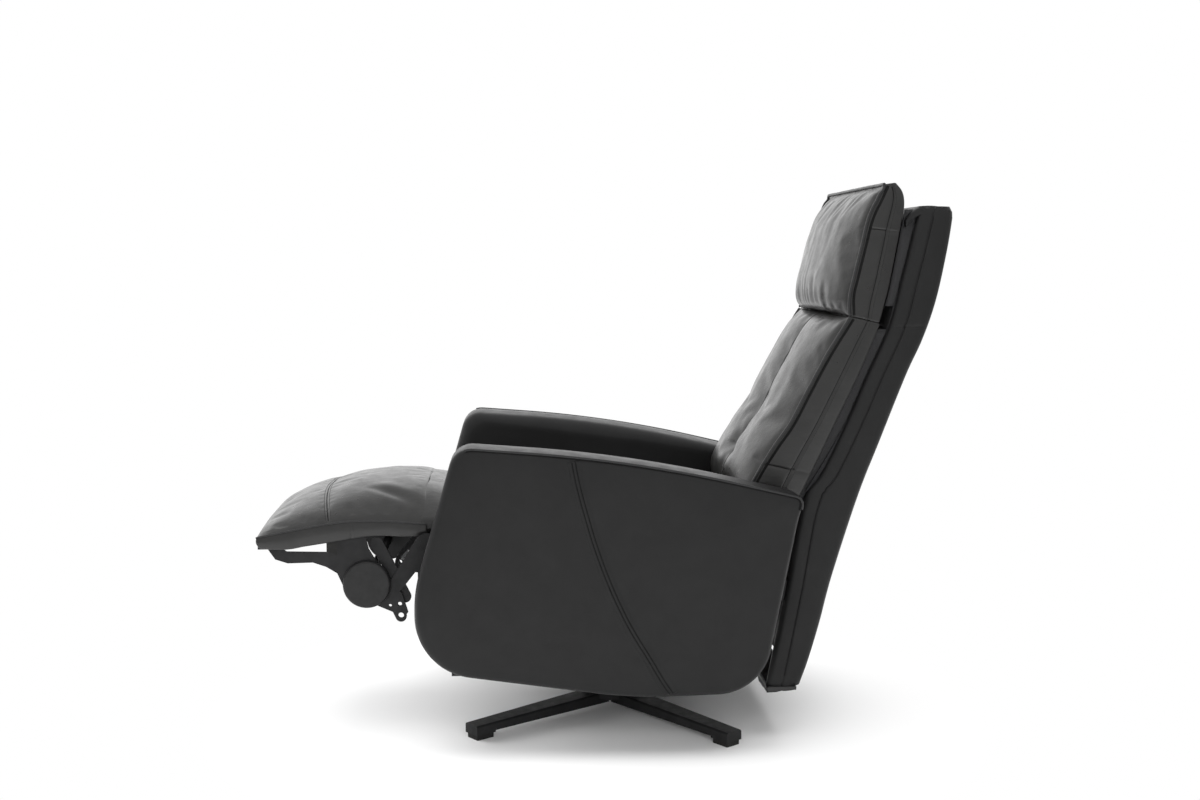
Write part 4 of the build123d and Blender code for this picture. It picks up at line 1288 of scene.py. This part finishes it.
@dataclass
class Arms:
    """Two upholstered arms: a flat outer panel with a curved lapped seam, a band and a soft inner roll."""

    corners: tuple[tuple[float, float, float], ...] = (
        (-318, 608, 42), (20, 583, 2600), (342, 507, 14), (268, 128, 105), (20, 121, 900),
        (-397, 181, 120), (-396, 335, 280))
    seam_places: tuple[Place, ...] = (
        (-97, 590), (-87, 538), (-72, 481), (-52, 414), (-23, 337), (11, 265), (49, 201), (76, 154),
        (97, 122))
    ring_centre: Place = (-60.0, 360.0)
    outline_points: int = 300
    top_start: Place = (-330.0, 608.0)
    top_fall: float = 0.24
    top_floor: float = 480.0
    outer_swell: float = 6.0
    outer_reach: float = 45.0
    band_swell: float = 2.5
    inner_proud: float = 0.4
    wrinkle: float = 0.8
    wrinkle_mm: tuple[float, float, float] = (90.0, 90.0, 90.0)
    soft_edge: float = 17.0
    welted_edge: float = 5.0
    inner_roll: float = 30.0
    welt_radius: float = 2.6
    # Radius and place of the painted shadow line under the welt.
    welt_place: Place = (-1.0, 1.2)
    welt_shadow_radius: float = 1.3
    welt_shadow_place: Place = (0.6, 5.0)
    lap_height: float = 2.0
    lap_fall: float = 7.5
    lap_end: float = 6.0
    lap_sunk: float = 0.35
    lap_skin: float = 2.5
    groove: float = 3.4
    groove_cut: Place = (1.5, 1.2)
    # Radius of the painted shadow lines in the curved seam's grooves.
    seam_radius: float = 1.15
    stitch_gap: float = 10.5
    seam_band: float = 22.0

    def build(self) -> None:
        """Makes the left arm, and mirrors it to the right."""
        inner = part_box("left_arm_inner_pad")[0].x / MM
        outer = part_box("left_arm_outer_pad")[1].x / MM
        ring = rounded_outline(self.corners, self.outline_points)
        left = self.cover(ring, inner, outer)
        trims = self.welt(ring, outer) + self.seam_lap(left, outer)
        right = mirrored(left, "right_arm_leather")
        for piece, word in ((left, "left"), (right, "right")):
            nodes = [f"{word}_arm_outer_pad", f"{word}_arm_frame_board", f"{word}_arm_inner_pad"]
            dress(piece, Finish.PANEL_HIDE, "seat", nodes)
        for piece, name, finish in trims:
            copy = mirrored(piece, f"right_{name}")
            piece.name = piece.data.name = f"left_{name}"
            trim(piece, finish, "seat")
            trim(copy, finish, "seat")

    def topness(self, ring: Array) -> Array:
        """How much of the welted top edge each outline point has, from 0 to 1."""
        y, z = ring.T
        start_y, start_z = self.top_start
        on_top = (z > start_z - self.top_fall * (y - start_y)) & (z > self.top_floor)
        share = on_top.astype(float)
        width = 7
        lap = width - 1
        wrapped = np.concatenate([share[-lap:], share, share[:lap]])
        return np.convolve(wrapped, np.ones(width) / width, mode="same")[lap:-lap]

    def cover(self, ring: Array, inner: float, outer: float) -> bpy.types.Object:
        """Rings of quads from the middle of the outer panel, over the band, to the middle of the inner panel.

        Args:
            ring: the outline.
            inner: the inner face's place across the chair.
            outer: the outer face's place.

        Returns:
            The arm's mesh.
        """
        centre = np.array(self.ring_centre)
        reach = np.linalg.norm(ring - centre, axis=1)
        top = self.topness(ring)
        edge = self.soft_edge + (self.welted_edge - self.soft_edge) * top
        face = outer - self.outer_swell
        rings: list[tuple[Array, Array]] = []
        for share in (0.03, 0.12, 0.24, 0.36, 0.48, 0.58, 0.67, 0.75, 0.82, 0.88, 0.93, 0.97):
            inset = reach - (reach - edge) * share
            rings.append((inset, face + puff(inset - edge, self.outer_swell, self.outer_reach)))
        for turn in np.radians((0, 18, 36, 54, 72, 90)):
            rings.append((edge * (1 - math.sin(turn)), face - edge * (1 - math.cos(turn))))
        roll = self.inner_roll
        start, end = face - edge, inner + roll
        for share in np.linspace(0.0, 1.0, 10)[1:-1]:
            swell = -self.band_swell * (4 * share * (1 - share)) * top
            rings.append((swell, start + (end - start) * share))
        for turn in np.radians((90, 75, 60, 45, 30, 15, 0)):
            rings.append((np.full_like(reach, roll * (1 - math.sin(turn))),
                          np.full_like(reach, inner + roll * (1 - math.cos(turn)))))
        for share in (0.95, 0.88, 0.78, 0.66, 0.52, 0.38, 0.24, 0.12, 0.03):
            rings.append((reach - (reach - roll) * share, np.full_like(reach, inner + self.inner_proud)))
        points, faces = [], []
        for inset, x in rings:
            spot = centre + (ring - centre) * (1 - inset / reach)[:, None]
            points.append(np.column_stack([x, spot]))
        count = len(ring)
        cloud = np.vstack(points)
        wave = ripple(cloud, self.wrinkle_mm)
        cloud[:, 0] += self.wrinkle * wave * (cloud[:, 0] > face - 1.0)
        for k in range(len(rings) - 1):
            for i in range(count):
                j = (i + 1) % count
                faces.append((k * count + i, k * count + j, (k + 1) * count + j, (k + 1) * count + i))
        faces.append(tuple(range(count)))
        faces.append(tuple(range((len(rings) - 1) * count, len(rings) * count)))
        return new_object("left_arm_leather", cloud, faces)

    def seam_line(self) -> SideLine:
        """The curved seam of the outer panel."""
        return SideLine(self.seam_places)

    def on_lap(self, panel: BVHTree, outer: float, u: Array, off: Array) -> Array:
        """Places on the lapped leather of the curved seam.

        Args:
            panel: the arm's surface, which the lap lies on.
            outer: the outer face's place across the chair.
            u: shares of the seam's length.
            off: millimetres behind the seam.

        Returns:
            Rows of x, y, z.
        """
        line = self.seam_line()
        places = line.at(u) + line.normal(u) * off[:, None]
        base, _ = laid_on(panel, np.column_stack([np.full(len(u), outer + self.lap_height), places]))
        beyond = np.maximum(np.abs(off) - self.groove, 0.0)
        height = self.lap_height * np.exp(-(beyond / self.lap_fall) ** 2)
        height += dent(np.abs(off) - self.groove, *self.groove_cut)
        height *= puff(np.minimum(u, 1 - u) * line.length, 1.0, self.lap_end)
        base[:, 0] += height - self.lap_sunk
        return base

    def seam_lap(self, arm: bpy.types.Object, outer: float) -> list[Trim]:
        """The lapped leather along the curved seam, the painted shadow lines in its two grooves and its row of
        thread.

        Args:
            arm: the arm that it lies on.
            outer: the outer face's place across the chair.

        Returns:
            Each piece with its name and its finish.
        """
        panel = surface_of(arm)

        def shape(u: Array, v: Array, w: Array) -> Array:
            """Places of the lap."""
            spots = self.on_lap(panel, outer, u, w * self.seam_band)
            spots[:, 0] -= self.lap_skin * v
            return spots

        grooves = (-self.groove, self.groove)
        dense = [(side / self.seam_band, self.groove_cut[1] / self.seam_band) for side in grooves]
        across = spaced(18, -1.0, 1.0, dense)
        lap = lattice("arm_lap", spaced(150, 0.015, 0.985), np.array([0.0, 1.0]), across, shape)
        pieces = [(lap, "arm_lap", Finish.PANEL_HIDE)]
        u = np.linspace(0.02, 0.98, 110)
        for word, side in zip(("front", "rear"), grooves):
            # Painted shadow line in each groove.
            path = self.on_lap(panel, outer, u, np.full(len(u), side))
            name = f"arm_seam_{word}"
            pieces.append((tube(name, path, self.seam_radius), name, Finish.SEAM))
        path = self.on_lap(panel, outer, u, np.full(len(u), -self.stitch_gap))
        return pieces + [(Thread().sew("arm_stitches", lap, path), "arm_stitches", Finish.THREAD)]

    def welt(self, ring: Array, outer: float) -> list[Trim]:
        """Piping along the top edge of the outer panel, and a painted shadow line under it."""
        top = self.topness(ring) > 0.5
        start = next(i for i in range(len(ring)) if top[i] and not top[i - 1])
        run = []
        for i in range(start, start + len(ring)):
            if not top[i % len(ring)]:
                break
            run.append(ring[i % len(ring)])
        line = np.array(run)
        centre = ring.mean(axis=0)
        inward = (centre - line) / np.linalg.norm(centre - line, axis=1, keepdims=True)
        face = outer - self.outer_swell
        # gap is the path of the painted shadow line under the welt.
        cord, gap = (np.column_stack([np.full(len(line), face + out), line + inward * inset])
                     for out, inset in (self.welt_place, self.welt_shadow_place))
        return [(tube("arm_welt", cord, self.welt_radius), "arm_welt", Finish.PIPING),
                (tube("arm_welt_shadow", gap, self.welt_shadow_radius), "arm_welt_shadow", Finish.SEAM)]


@dataclass
class Seat:
    """Seat cushion, the flap behind it and the leather up to the back cushion."""

    half: float = 253.0
    bottom: float = 391.0
    rear_y: float = 172.0
    edge_height: float = 62.0
    crown: float = 40.0
    full_after: Place = (26.0, 24.0)
    rim: Place = (9.0, 14.0)
    rim_drop: float = 8.0
    fall: float = 16.0
    undercut: float = 30.0
    undercut_from: float = 0.35
    nose: float = 3.0
    side_pinch: float = 3.0
    wrinkle: float = 2.0
    wrinkle_mm: tuple[float, float, float] = (110.0, 80.0, 60.0)
    sewn_edge: float = 12.0
    sewn_ends: Place = (20.0, 16.0)
    flap_lap: float = 12.0
    flap_skin: float = 11.0
    flap_wave: float = 1.5
    flap_wave_mm: tuple[float, float, float] = (90.0, 60.0, 1.0)
    gusset_skin: float = 5.0
    gusset_wave: float = 1.2
    gusset_wave_mm: tuple[float, float, float] = (70.0, 40.0, 1.0)

    def build(self) -> None:
        """Makes the cushion and the flap behind it."""
        low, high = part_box("seat_cushion")
        front_y = (low.y - SWIVEL_Y) / MM
        length = self.rear_y - front_y

        def shape(u: Array, v: Array, w: Array) -> Array:
            """Places of the seat cushion."""
            x = w * self.half
            ends = puff(u * length, 1.0, self.full_after[0]) * puff((1 - u) * length, 1.0, self.full_after[1])
            roll = self.crown * (1 - np.abs(w) ** 2.6)
            rim = puff((1 - np.abs(w)) * self.half, *self.rim)
            top = self.bottom + self.edge_height - self.rim_drop - self.fall * u + (roll + rim) * ends
            y = front_y + 4.0 + (length - 6.0) * u
            below = np.maximum(v - self.undercut_from, 0.0)
            undercut = self.undercut * below ** 1.4 / (1 - self.undercut_from) ** 1.4
            y = y + undercut * np.maximum(1 - u * 6.0, 0.0)
            nose = -self.nose * np.sin(math.pi * v) * np.exp(-u * 14.0)
            place = np.column_stack([x, y, top])
            top = top + self.wrinkle * ripple(place, self.wrinkle_mm) * ends
            z = top + (self.bottom - top) * v
            side = np.abs(w) ** 12
            x = x - np.sign(w) * self.side_pinch * side * (1 - 4 * v * (1 - v))
            return np.column_stack([x, y + nose, z])

        def held(points: Array) -> Array:
            """Points of the cushion that the frame and the seams hold."""
            x, y, z = points.T
            free = (z > self.bottom + self.edge_height) & (np.abs(x) < self.half - self.sewn_edge)
            return ~(free & (y > front_y + self.sewn_ends[0]) & (y < self.rear_y - self.sewn_ends[1]))

        cushion = slab("seat_cushion_leather", (64, 10, 60), shape)
        settle(cushion, held, 0.008, 6.0)
        refine(cushion)
        dress(cushion, Finish.HIDE, "seat", ["seat_cushion"])

        tail_end = (high.y - SWIVEL_Y) / MM

        def flap(u: Array, v: Array, w: Array) -> Array:
            """Places of the flap."""
            y = self.rear_y - self.flap_lap + (tail_end - self.rear_y + 10.0) * u
            wave = ripple(np.column_stack([w * 250, y, 0 * y]), self.flap_wave_mm)
            z = self.bottom + (1 - v) * (self.flap_skin + self.flap_wave * wave)
            return np.column_stack([w * (self.half - 1.0), y, z])

        tail = slab("seat_flap_leather", (14, 2, 40), flap)
        dress(tail, Finish.HIDE, "seat")
        self.gusset(tail_end)

    def gusset(self, tail_end: float) -> None:
        """Leather that closes the gap from the flap up to the back cushion.

        Args:
            tail_end: where the flap ends, along the chair.
        """
        line = SideLine([(tail_end - 26.0, 398.0), (tail_end + 2.0, 402.0), (tail_end + 26.0, 422.0),
                         (tail_end + 38.0, 456.0)])

        def shape(u: Array, v: Array, w: Array) -> Array:
            """Places of the gusset."""
            wave = ripple(np.column_stack([w * 250, 60 * u, 0 * u]), self.gusset_wave_mm)
            sink = self.gusset_skin * v + self.gusset_wave * wave
            place = line.at(u) - line.normal(u) * sink[:, None]
            return np.column_stack([w * (self.half - 3.0), place])

        sheet = slab("back_gusset_leather", (24, 2, 48), shape)
        sheet.data.materials.append(Finish.HIDE.material())
        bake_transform(sheet)
        log.info("%s bends between seat and back", sheet.name)


@dataclass
class Footrest:
    """Crowned pad over a boxed band, with a curved cross seam near its front and a bridge to the seat."""

    half: float = 245.0
    crown: float = 59.0
    seam_y: float = -569.0
    seam_bow: float = 24.0
    band_seam_y: float = -525.0
    rear_y: float = -378.0
    rim: Place = (7.0, 12.0)
    seam_groove: Place = (3.0, 2.6)
    wrinkle: float = 1.5
    wrinkle_mm: tuple[float, float, float] = (150.0, 60.0, 60.0)
    pucker: float = 1.1
    pucker_mm: tuple[float, float, float] = (400.0, 15.0, 60.0)
    pucker_band: Place = (9.0, 10.0)
    fold_centre: Place = (150.0, -480.0)
    fold_aim: Place = (0.81, 0.58)
    fold_reach: Place = (30.0, 55.0)
    fold_valley: Place = (5.0, 12.0)
    fold_ridge: Place = (3.0, 18.0)
    ridge_gap: float = 24.0
    corner_back: float = 3.0
    tip_swell: float = 4.0
    band_swell: float = 3.0
    band_groove: Place = (1.6, 2.6)
    band_wrinkle: float = 0.8
    band_wrinkle_mm: tuple[float, float, float] = (1.0, 26.0, 30.0)
    sewn_height: float = 3.0
    sewn_edge: float = 15.0
    sewn_seam: float = 4.0
    sewn_ends: Place = (18.0, 14.0)
    stitch_gap: float = 5.0
    edge_piping: float = 1.9
    edge_inset: float = 2.2
    edge_proud: float = 0.6
    bridge_lap: float = 12.0
    bridge_length: float = 70.0
    bridge_heights: Place = (447.0, 452.0)
    bridge_seat_crown: float = 42.0
    bridge_skin: float = 9.0
    bridge_side_skin: float = 18.0
    bridge_wave: float = 1.2
    bridge_wave_mm: tuple[float, float, float] = (60.0, 40.0, 1.0)
    top: SideLine = field(default_factory=lambda: SideLine([
        (-712, 418), (-698, 420), (-634, 432), (-570, 443), (-522, 448), (-451, 447), (-378, 441)]))
    under: SideLine = field(default_factory=lambda: SideLine([
        (-706, 395), (-651, 393), (-606, 401), (-571, 406), (-526, 413), (-484, 418), (-419, 417),
        (-378, 417)]))

    def off_seam(self, x: Array, y: Array) -> Array:
        """Millimetres behind the curved cross seam."""
        return y - self.seam_y + self.seam_bow * (1 - (x / self.half) ** 2)

    def swell(self, x: Array, y: Array, u: Array) -> Array:
        """How far the top panel stands over its edge seam.

        Args:
            x: millimetres from the middle.
            y: place along the chair.
            u: share of the length from the tip.

        Returns:
            Millimetres upwards.
        """
        across = np.abs(x / self.half)
        edge = (1 - across) * self.half
        share = np.clip((y - self.top.points[0][0]) / (self.rear_y - self.top.points[0][0]), 0.0, 1.0)
        tail = puff((1 - u) * self.top.length, 1.0, 5.0)
        out = self.crown * share ** 0.36 * (1 - across ** (2.3 + 1.1 * share))
        out += puff(edge, *self.rim) * puff(u * self.top.length, 1.0, 18.0)
        out *= 0.82 + 0.18 * tail
        out += dent(self.off_seam(x, y), *self.seam_groove) * puff(edge, 1.0, 8.0)
        place = np.column_stack([x, y, 0 * y])
        out += self.wrinkle * ripple(place, self.wrinkle_mm) * puff(edge, 1.0, 30.0)
        band, width = self.pucker_band
        out += self.pucker * ripple(place, self.pucker_mm, 1) * np.exp(-((edge - band) / width) ** 2)
        return out + self.long_fold(x, y)

    def long_fold(self, x: Array, y: Array) -> Array:
        """The slanting fold in the top panel: a valley with a ridge beside it, in millimetres upwards."""
        cosine, sine = self.fold_aim
        right, back = x - self.fold_centre[0], y - self.fold_centre[1]
        drift = cosine * right - sine * back
        along = cosine * back + sine * right
        middle, reach = self.fold_reach
        fade = np.exp(-((along - middle) / reach) ** 2)
        return fade * (dent(drift, *self.fold_valley) - dent(drift + self.ridge_gap, *self.fold_ridge))

    def shape(self, u: Array, v: Array, w: Array) -> Array:
        """Points of the pad for stations along, through and across it."""
        line, low = self.top.at(u), self.under.at(u)
        across = np.abs(w)
        x = w * self.half
        top = line[:, 1] + self.swell(x, line[:, 0], u)
        z = top * (1 - v) + low[:, 1] * v
        y = line[:, 0] * (1 - v) + low[:, 0] * v + self.corner_back * across ** 7 * np.exp(-u * 9.0)
        y -= self.tip_swell * np.sin(math.pi * v) * np.exp(-u * 30.0)
        groove = dent(y - self.band_seam_y, *self.band_groove)
        band = self.band_swell * 4 * v * (1 - v) + groove * (v > 0.05)
        band += self.band_wrinkle * ripple(np.column_stack([0 * y, y, z]), self.band_wrinkle_mm, 1)
        x = w * (self.half - self.band_swell) + np.sign(w) * across ** 12 * band
        return np.column_stack([x, y, z])

    def held(self, points: Array) -> Array:
        """Which points are sewn down: the band, the edges and the cross seam."""
        x, y, z = points.T
        line = np.interp(y, self.top.points[:, 0], self.top.points[:, 1])
        free = (z > line + self.sewn_height) & (np.abs(x) < self.half - self.sewn_edge)
        free &= np.abs(self.off_seam(x, y)) > self.sewn_seam
        tip_end, rear_end = self.sewn_ends
        free &= (y > self.top.points[0][0] + tip_end) & (y < self.rear_y - rear_end)
        return ~free

    def build(self) -> None:
        """Makes the pad, its cross seam's thread and painted shadow line, its edge seam and the bridge behind it.
        """
        seams = [(float(np.interp(y, self.top.points[:, 0], self.top.share)), 0.009)
                 for y in (self.seam_y - 18.0, self.seam_y - 9.0, self.seam_y, self.band_seam_y)]
        us = spaced(96, 0.0, 1.0, seams)
        edges = [(side * (1.0 - self.pucker_band[0] / self.half), 0.014) for side in (-1, 1)]
        across = spaced(72, -1.0, 1.0, edges)
        pad = lattice("footrest_pad_leather", us, spaced(6, 0.0, 1.0), across, self.shape)
        settle(pad, self.held, 0.004, 4.0)
        refine(pad)
        dress(pad, Finish.HIDE, "footrest", ["footrest_pad"])
        x = np.linspace(-0.96, 0.96, 120) * self.half
        for off, word in ((0.0, "seam"), (self.stitch_gap, "rear"), (-self.stitch_gap, "front")):
            y = self.seam_y - self.seam_bow * (1 - (x / self.half) ** 2) + off
            share = np.interp(y, self.top.points[:, 0], self.top.share)
            z = self.top.at(share)[:, 1] + self.swell(x, y, share)
            path = np.column_stack([x, y, z])
            if word == "seam":
                # Painted shadow line in the cross seam's groove.
                trim(seam_shadow_line("footrest_cross_seam_shadow", pad, path), Finish.SEAM, "footrest")
            else:
                trim(Thread().sew(f"footrest_stitches_{word}", pad, path), Finish.THREAD, "footrest")
        u = np.linspace(0.0, 1.0, 70)
        for side, word in ((1, "left"), (-1, "right")):
            path = np.column_stack([np.full(len(u), side * (self.half - self.edge_inset)), self.top.at(u)])
            path, _ = laid_on(surface_of(pad), path, self.edge_proud)
            trim(tube(f"footrest_edge_{word}", path, self.edge_piping), Finish.PIPING, "footrest")
        self.bridge()

    def bridge(self) -> None:
        """Leather that runs on from the pad to the seat cushion."""
        start_y, end_y = self.rear_y - self.bridge_lap, self.rear_y + self.bridge_length

        def shape(u: Array, v: Array, w: Array) -> Array:
            """Places of the bridge."""
            across = np.abs(w)
            y = start_y + (end_y - start_y) * u
            pad = self.bridge_heights[0] + (self.crown - 3.0) * (1 - across ** 3.4)
            seat = self.bridge_heights[1] + self.bridge_seat_crown * (1 - across ** 2.6)
            top = pad + (seat - pad) * u * u * (3.0 - 2.0 * u)
            wave = ripple(np.column_stack([w * self.half, y, 0 * y]), self.bridge_wave_mm)
            top += self.bridge_wave * wave
            skin = self.bridge_skin + self.bridge_side_skin * across ** 8
            return np.column_stack([w * (self.half - 4.0), y, top - skin * v])

        sheet = slab("footrest_bridge_leather", (20, 2, 56), shape)
        sheet.data.materials.append(Finish.HIDE.material())
        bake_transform(sheet)
        log.info("%s bends between footrest and seat", sheet.name)


@dataclass
class Hardware:
    """Bolt heads on the lift's pivots and the arrows on the keys."""

    bolt_across: float = 0.0065
    bolt_height: float = 0.0045
    bolt_rounding: float = 0.0004
    washer_height: float = 0.0014
    washer_girth: float = 1.35
    pin_end: float = 0.008
    arrow_radius: float = 0.0028
    arrow_height: float = 0.0006
    arrow_rounding: float = 0.0001

    def build(self) -> None:
        """Makes every small rigid piece."""
        for side, word in ((1, "left"), (-1, "right")):
            low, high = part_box("lower_lift_pins")
            place = (side * high.x, (low.y + high.y) / 2, (low.z + high.z) / 2)
            self.bolt(f"{word}_rear_low_bolt", place, side, "turntable")
            tube_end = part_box("lift_torsion_tube")[1].x
            pivot = joint_place("lift")
            self.bolt(f"{word}_front_low_bolt", (side * tube_end, pivot.y, pivot.z), side, "front_links")
            low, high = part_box("upper_lift_pins")
            place = (side * high.x, low.y + self.pin_end, (low.z + high.z) / 2)
            self.bolt(f"{word}_front_high_bolt", place, side, "seat")
        for name in frame["nodes"]:
            if name.endswith("_button"):
                self.arrow(name)

    def rounded(self, name: str, body: str, finish: Finish, bevel: float) -> None:
        """Bevels the active piece's edges, fixes its place in its mesh and dresses it.

        Args:
            name: the piece's name.
            body: what it moves with.
            finish: its look.
            bevel: width of the rounding, in metres.
        """
        piece = bpy.context.active_object
        piece.name = piece.data.name = name
        rounding = piece.modifiers.new("rounding", "BEVEL")
        rounding.width = bevel
        rounding.segments = 3
        bpy.ops.object.modifier_apply(modifier=rounding.name)
        bpy.ops.object.transform_apply(location=True, rotation=True, scale=True)
        bpy.ops.object.shade_smooth_by_angle(angle=math.radians(35))
        dress(piece, finish, body)

    def bolt(self, name: str, place: Sequence[float], side: int, body: str) -> None:
        """Hexagon bolt head with a washer under it, on a pivot's end.

        Args:
            name: the piece's name.
            place: middle of the pivot's end face.
            side: 1 where it faces the sitter's left.
            body: what it moves with.
        """
        parts = ((28, self.washer_girth, self.washer_height, self.washer_height / 2),
                 (6, 1.0, self.bolt_height, self.washer_height + self.bolt_height / 2))
        for sides, girth, height, stand in parts:
            bpy.ops.object.select_all(action="DESELECT")
            spot = (place[0] + side * stand, place[1], place[2])
            bpy.ops.mesh.primitive_cylinder_add(vertices=sides, radius=self.bolt_across * girth, depth=height,
                                                location=spot, rotation=(0.0, math.pi / 2, 0.0))
            label = "washer" if sides > 6 else "head"
            self.rounded(f"{name}_{label}", body, Finish.BRIGHT_STEEL, self.bolt_rounding)

    def arrow(self, button: str) -> None:
        """Arrow on a key's face, up or down as the key moves the chair.

        Args:
            button: the key's CAD node.
        """
        low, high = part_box(button)
        up = "_up_" in button
        bpy.ops.object.select_all(action="DESELECT")
        bpy.ops.mesh.primitive_cylinder_add(vertices=3, radius=self.arrow_radius, depth=self.arrow_height,
                                            location=(low.x, (low.y + high.y) / 2, (low.z + high.z) / 2),
                                            rotation=(math.pi / 2, 0.0, math.pi / 2))
        piece = bpy.context.active_object
        spin = 0.0 if up else math.pi
        bpy.ops.transform.rotate(value=spin, orient_axis="X", center_override=piece.location)
        self.rounded(button.replace("_button", "_arrow"), button.replace("_button", "_key"), Finish.PLASTIC,
                     self.arrow_rounding)


@dataclass
class Metalwork:
    """Finishes of the CAD pieces that stay in view."""

    slots: dict[str, Finish] = field(default_factory=lambda: {
        "black_steel": Finish.BLACK_STEEL, "bright_steel": Finish.BRIGHT_STEEL,
        "black_plastic": Finish.PLASTIC, "drive_casing": Finish.CASING, "grey_rubber": Finish.RUBBER,
        "frame_board": Finish.BOARD,
        "webbing": Finish.LINING, "button_plastic": Finish.BUTTON, "black_leather": Finish.HIDE})
    lined: tuple[str, ...] = ("back_panel", "footrest_board", "seat_deck", "cushion_rails")

    def build(self) -> None:
        """Assigns a finish to every CAD node."""
        named = {part["node"]: part["material_slot"] for part in frame["record"]["subparts"]}
        for name, node in frame["nodes"].items():
            finish = Finish.LINING if name in self.lined else self.slots[named[name]]
            node.data.materials.clear()
            node.data.materials.append(finish.material())


@dataclass
class Studio:
    """White studio: floor, soft lamps and the photograph's camera."""

    eye: tuple[float, float, float] = (3.0327, -0.1638, 0.9584)
    yaw: float = 0.0560
    pitch: float = 0.0980
    focal_px: float = 1435.35
    frame_px: float = 1200.0
    floor_size: float = 40.0
    floor_tone: tuple[float, float, float] = (0.86, 0.86, 0.86)
    shadow_fade: Place = (0.32, 0.84)
    fill_light: float = 0.5

    def build(self) -> None:
        """Sets the view transform, world, floor, lamps and camera."""
        bpy.context.scene.view_settings.view_transform = "Standard"
        self.world()
        self.floor()
        self.lamp("top_softbox", (0.0, 0.0, 3.4), (0.0, 0.05, 0.5), (4.0, 4.0), 190.0, False)
        self.lamp("front_softbox", (-0.8, -3.2, 1.9), (0.0, 0.0, 0.3), (2.4, 2.2), 120.0, False)
        self.lamp("backdrop_softbox", (-3.4, -0.5, 1.5), (0.0, 0.0, 0.7), (4.6, 2.8), 27.0)
        self.lamp("side_softbox", (3.6, 0.2, 1.5), (0.0, 0.0, 0.1), (2.8, 2.0), 70.0, False)
        self.camera()

    def world(self) -> None:
        """White to the camera and in reflections' far field, and a quiet grey as light."""
        world = bpy.data.worlds.new("studio_white")
        bpy.context.scene.world = world
        world.use_nodes = True
        tree = world.node_tree
        back = tree.nodes["Background"]
        path = tree.nodes.new("ShaderNodeLightPath")
        strength = tree.nodes.new("ShaderNodeMapRange")
        strength.inputs["To Min"].default_value = self.fill_light
        strength.inputs["To Max"].default_value = 1.0
        seen = tree.nodes.new("ShaderNodeMath")
        seen.operation = "MAXIMUM"
        tree.links.new(path.outputs["Is Camera Ray"], seen.inputs[0])
        tree.links.new(path.outputs["Is Glossy Ray"], seen.inputs[1])
        tree.links.new(seen.outputs[0], strength.inputs["Value"])
        tree.links.new(strength.outputs[0], back.inputs["Strength"])
        back.inputs["Color"].default_value = (1.0, 1.0, 1.0, 1.0)

    def floor(self) -> None:
        """Pale floor that keeps the chair's shadow and runs out into white."""
        bpy.ops.object.select_all(action="DESELECT")
        bpy.ops.mesh.primitive_plane_add(size=self.floor_size, location=(0.0, 0.0, 0.0))
        plane = bpy.context.active_object
        plane.name = "studio_floor"
        material = bpy.data.materials.new("studio_floor_paint")
        material.use_nodes = True
        tree = material.node_tree
        paint = tree.nodes["Principled BSDF"]
        paint.inputs["Base Color"].default_value = (*self.floor_tone, 1.0)
        paint.inputs["Roughness"].default_value = 0.9
        paint.inputs["Specular IOR Level"].default_value = 0.0
        glow = tree.nodes.new("ShaderNodeEmission")
        glow.inputs["Strength"].default_value = 1.0
        coords = tree.nodes.new("ShaderNodeTexCoord")
        away = tree.nodes.new("ShaderNodeVectorMath")
        away.operation = "LENGTH"
        tree.links.new(coords.outputs["Object"], away.inputs[0])
        fade = tree.nodes.new("ShaderNodeMapRange")
        fade.interpolation_type = "SMOOTHSTEP"
        fade.inputs["From Min"].default_value, fade.inputs["From Max"].default_value = self.shadow_fade
        tree.links.new(away.outputs["Value"], fade.inputs["Value"])
        path = tree.nodes.new("ShaderNodeLightPath")
        seen = tree.nodes.new("ShaderNodeMath")
        seen.operation = "MULTIPLY"
        tree.links.new(fade.outputs[0], seen.inputs[0])
        tree.links.new(path.outputs["Is Camera Ray"], seen.inputs[1])
        mix = tree.nodes.new("ShaderNodeMixShader")
        tree.links.new(seen.outputs[0], mix.inputs[0])
        tree.links.new(paint.outputs[0], mix.inputs[1])
        tree.links.new(glow.outputs[0], mix.inputs[2])
        tree.links.new(mix.outputs[0], tree.nodes["Material Output"].inputs["Surface"])
        plane.data.materials.append(material)

    def lamp(self, name: str, place: Sequence[float], aim: Sequence[float], size: Place, power: float,
             mirrored_in_leather: bool = True) -> None:
        """Adds one soft rectangular lamp.

        Args:
            name: the lamp's name.
            place: where it stands.
            aim: what it points at.
            size: its width and height.
            power: in watts.
            mirrored_in_leather: whether glossy surfaces show it.
        """
        data = bpy.data.lights.new(name, "AREA")
        data.shape = "RECTANGLE"
        data.size, data.size_y = size
        data.energy = power
        lamp = bpy.data.objects.new(name, data)
        lamp.visible_glossy = mirrored_in_leather
        lamp.visible_camera = False
        lamp.location = place
        lamp.rotation_euler = (Vector(aim) - Vector(place)).to_track_quat("-Z", "Y").to_euler()
        bpy.context.collection.objects.link(lamp)

    def camera(self) -> None:
        """Camera fitted to the photograph."""
        data = bpy.data.cameras.new("camera")
        data.sensor_width = 36.0
        data.lens = self.focal_px / self.frame_px * data.sensor_width
        data.clip_end = 100.0
        camera = bpy.data.objects.new("camera", data)
        aim = Vector((-math.cos(self.yaw) * math.cos(self.pitch), math.sin(self.yaw) * math.cos(self.pitch),
                      -math.sin(self.pitch)))
        camera.location = self.eye
        camera.rotation_euler = aim.to_track_quat("-Z", "Y").to_euler()
        bpy.context.collection.objects.link(camera)
        bpy.context.scene.camera = camera


def main() -> None:
    """Builds the chair's looks in order."""
    logging.basicConfig(level=logging.INFO)
    Studio().build()
    Metalwork().build()
    for assembly in (Backrest(), Arms(), Seat(), Footrest(), Hardware()):
        assembly.build()


if __name__ == "__main__":
    main()
